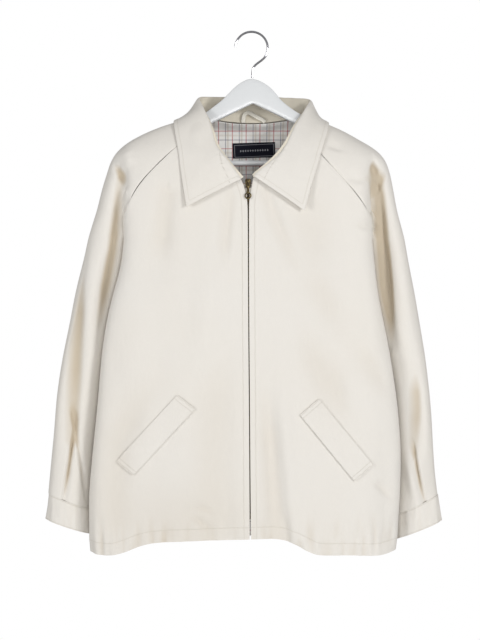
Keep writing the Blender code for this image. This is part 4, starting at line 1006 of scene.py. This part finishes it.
KEEN_TURN, FLAT_TURN = math.radians(30), math.radians(1)
METAL = (
    # node, bevel, body
    ("zip_slider", 0.0003, "jacket"),
    ("zip_pull", 0.0002, "pull_tab"),
)

zip_weave = Finish("zip tape", roughness=0.85, sheen_weight=0.1, specular_ior_level=0.25)
x, _, z = zip_weave.axes(zip_weave.place())
zip_weave.feed("Base Color", zip_weave.mix(zip_weave.noise(zip_weave.place(), TAPE_GRAIN), *TAPE_TONES))
ribs = (x * RIBS_ACROSS).sine() * 0.5 + (z * RIBS_UP).sine() * 0.5
zip_weave.feed("Normal", zip_weave.raise_by(ribs, RIB_BUMP))
old_brass = Finish("antique brass", metallic=1.0, roughness=0.42)
wear = old_brass.noise(old_brass.place(), BRASS_GRAIN, 3.0, 0.6)
old_brass.feed("Base Color", old_brass.mix((wear - WORN_FROM) * WORN_GAIN, BRASS_DARK, BRASS_WORN))
old_brass.feed("Normal", old_brass.raise_by(wear, BRASS_BUMP))


def hard_piece(name, node, bevel, material):
    """A node's solid with its flat faces merged and its keen edges bevelled."""
    bm = solid_of(node)
    bmesh.ops.dissolve_limit(bm, angle_limit=FLAT_TURN, verts=bm.verts, edges=bm.edges)
    keen = [edge for edge in bm.edges if edge.calc_face_angle(0) > KEEN_TURN]
    bmesh.ops.bevel(bm, geom=keen, offset=bevel, segments=2, profile=0.5, affect="EDGES", clamp_overlap=True)
    piece = object_from(name, bm)
    piece.data.shade_smooth()
    piece.data.materials.append(material)
    return piece


def tooth(low, high):
    """A bevelled tooth from low to high across the zip, centred otherwise."""
    bm = bmesh.new()
    bmesh.ops.create_cube(bm, size=1.0)
    bmesh.ops.scale(bm, vec=(high - low, TOOTH_DEEP, TOOTH_TALL), verts=bm.verts)
    bmesh.ops.translate(bm, vec=(0.5 * (low + high), 0, 0), verts=bm.verts)
    bmesh.ops.bevel(bm, geom=bm.edges, offset=TOOTH_BEVEL, segments=1, profile=0.5, affect="EDGES")
    return object_from("tooth", bm)


chain = np.array([v.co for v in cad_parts["zip_chain"].data.vertices])
heights = np.unique(np.round(chain[:, 2], 4))
rings = [chain[np.abs(chain[:, 2] - z) < SAME_HEIGHT] for z in heights]
middles = np.array([0.5 * (ring.min(0) + ring.max(0)) for ring in rings])
for side, start, low, high in TEETH:
    levels = np.arange(heights[0] + TOOTH_TALL / 2 + start * TOOTH_PITCH, heights[-1] - TOOTH_TALL / 2,
                       TOOTH_PITCH)
    places = np.column_stack([*(np.interp(levels, heights, middles[:, k]) for k in (0, 1)), levels])
    ways, ups = (np.tile(axis, (len(levels), 1)) for axis in ((1.0, 0, 0), (0, 0, 1.0)))
    teeth = repeat("zip_teeth_" + side, places, ways, ups, tooth(low, high), old_brass.material)
    stand_for("zip_chain", "antique brass", teeth)

for node in ("zip_tape_left", "zip_tape_right"):
    piece = fine_piece("cloth_" + node, wall_of(node, FRONT_VIEW), PLAIN)
    one_finish(piece, zip_weave.material)
    stand_for(node, "zip tape", piece)

for node, bevel, body in METAL:
    stand_for(node, "antique brass", hard_piece("metal_" + node, node, bevel, old_brass.material), body=body)

# ---------------------------------------------------------------------------
# The hanger: flat curved arms of white lacquered wood, notched near their ends,
# a round bar between them, and a bright wire hook.
# ---------------------------------------------------------------------------
WOOD_SHAPE, WOOD_GRAIN, WOOD_BUMP = (0.15, 1, 1), 160.0, 0.00012
lacquer = Finish("white lacquer", base_color=(0.70, 0.715, 0.725, 1), roughness=0.32, coat_weight=0.3)
grain = lacquer.noise(lacquer.place(scale=WOOD_SHAPE), WOOD_GRAIN, 3.0)
lacquer.feed("Normal", lacquer.raise_by(grain, WOOD_BUMP))
chrome = Finish("bright chrome", base_color=(0.60, 0.60, 0.64, 1), metallic=1.0, roughness=0.14)
HANGER = (
    # name, node, levels of smoothing, finish, slot
    ("wood_hanger_arms", "hanger_arms", PLAIN, lacquer, "white lacquered wood"),
    ("wood_hanger_bar", "hanger_bar", PLAIN - 1, lacquer, "white lacquered wood"),
    ("wire_hanger_hook", "hanger_hook", PLAIN, chrome, "chromed wire"),
)


def smooth_piece(name, node, levels, material):
    """A node's solid made smooth, its keen edges kept."""
    bm = solid_of(node)
    bmesh.ops.join_triangles(bm, faces=bm.faces, angle_face_threshold=LAYER_TURN,
                             angle_shape_threshold=LAYER_TURN)
    for face in bm.faces:
        face.material_index = RIM
    piece = fine_piece(name, bm, levels)
    one_finish(piece, material)
    return piece


for name, node, levels, finish, slot in HANGER:
    stand_for(node, slot, smooth_piece(name, node, levels, finish.material))
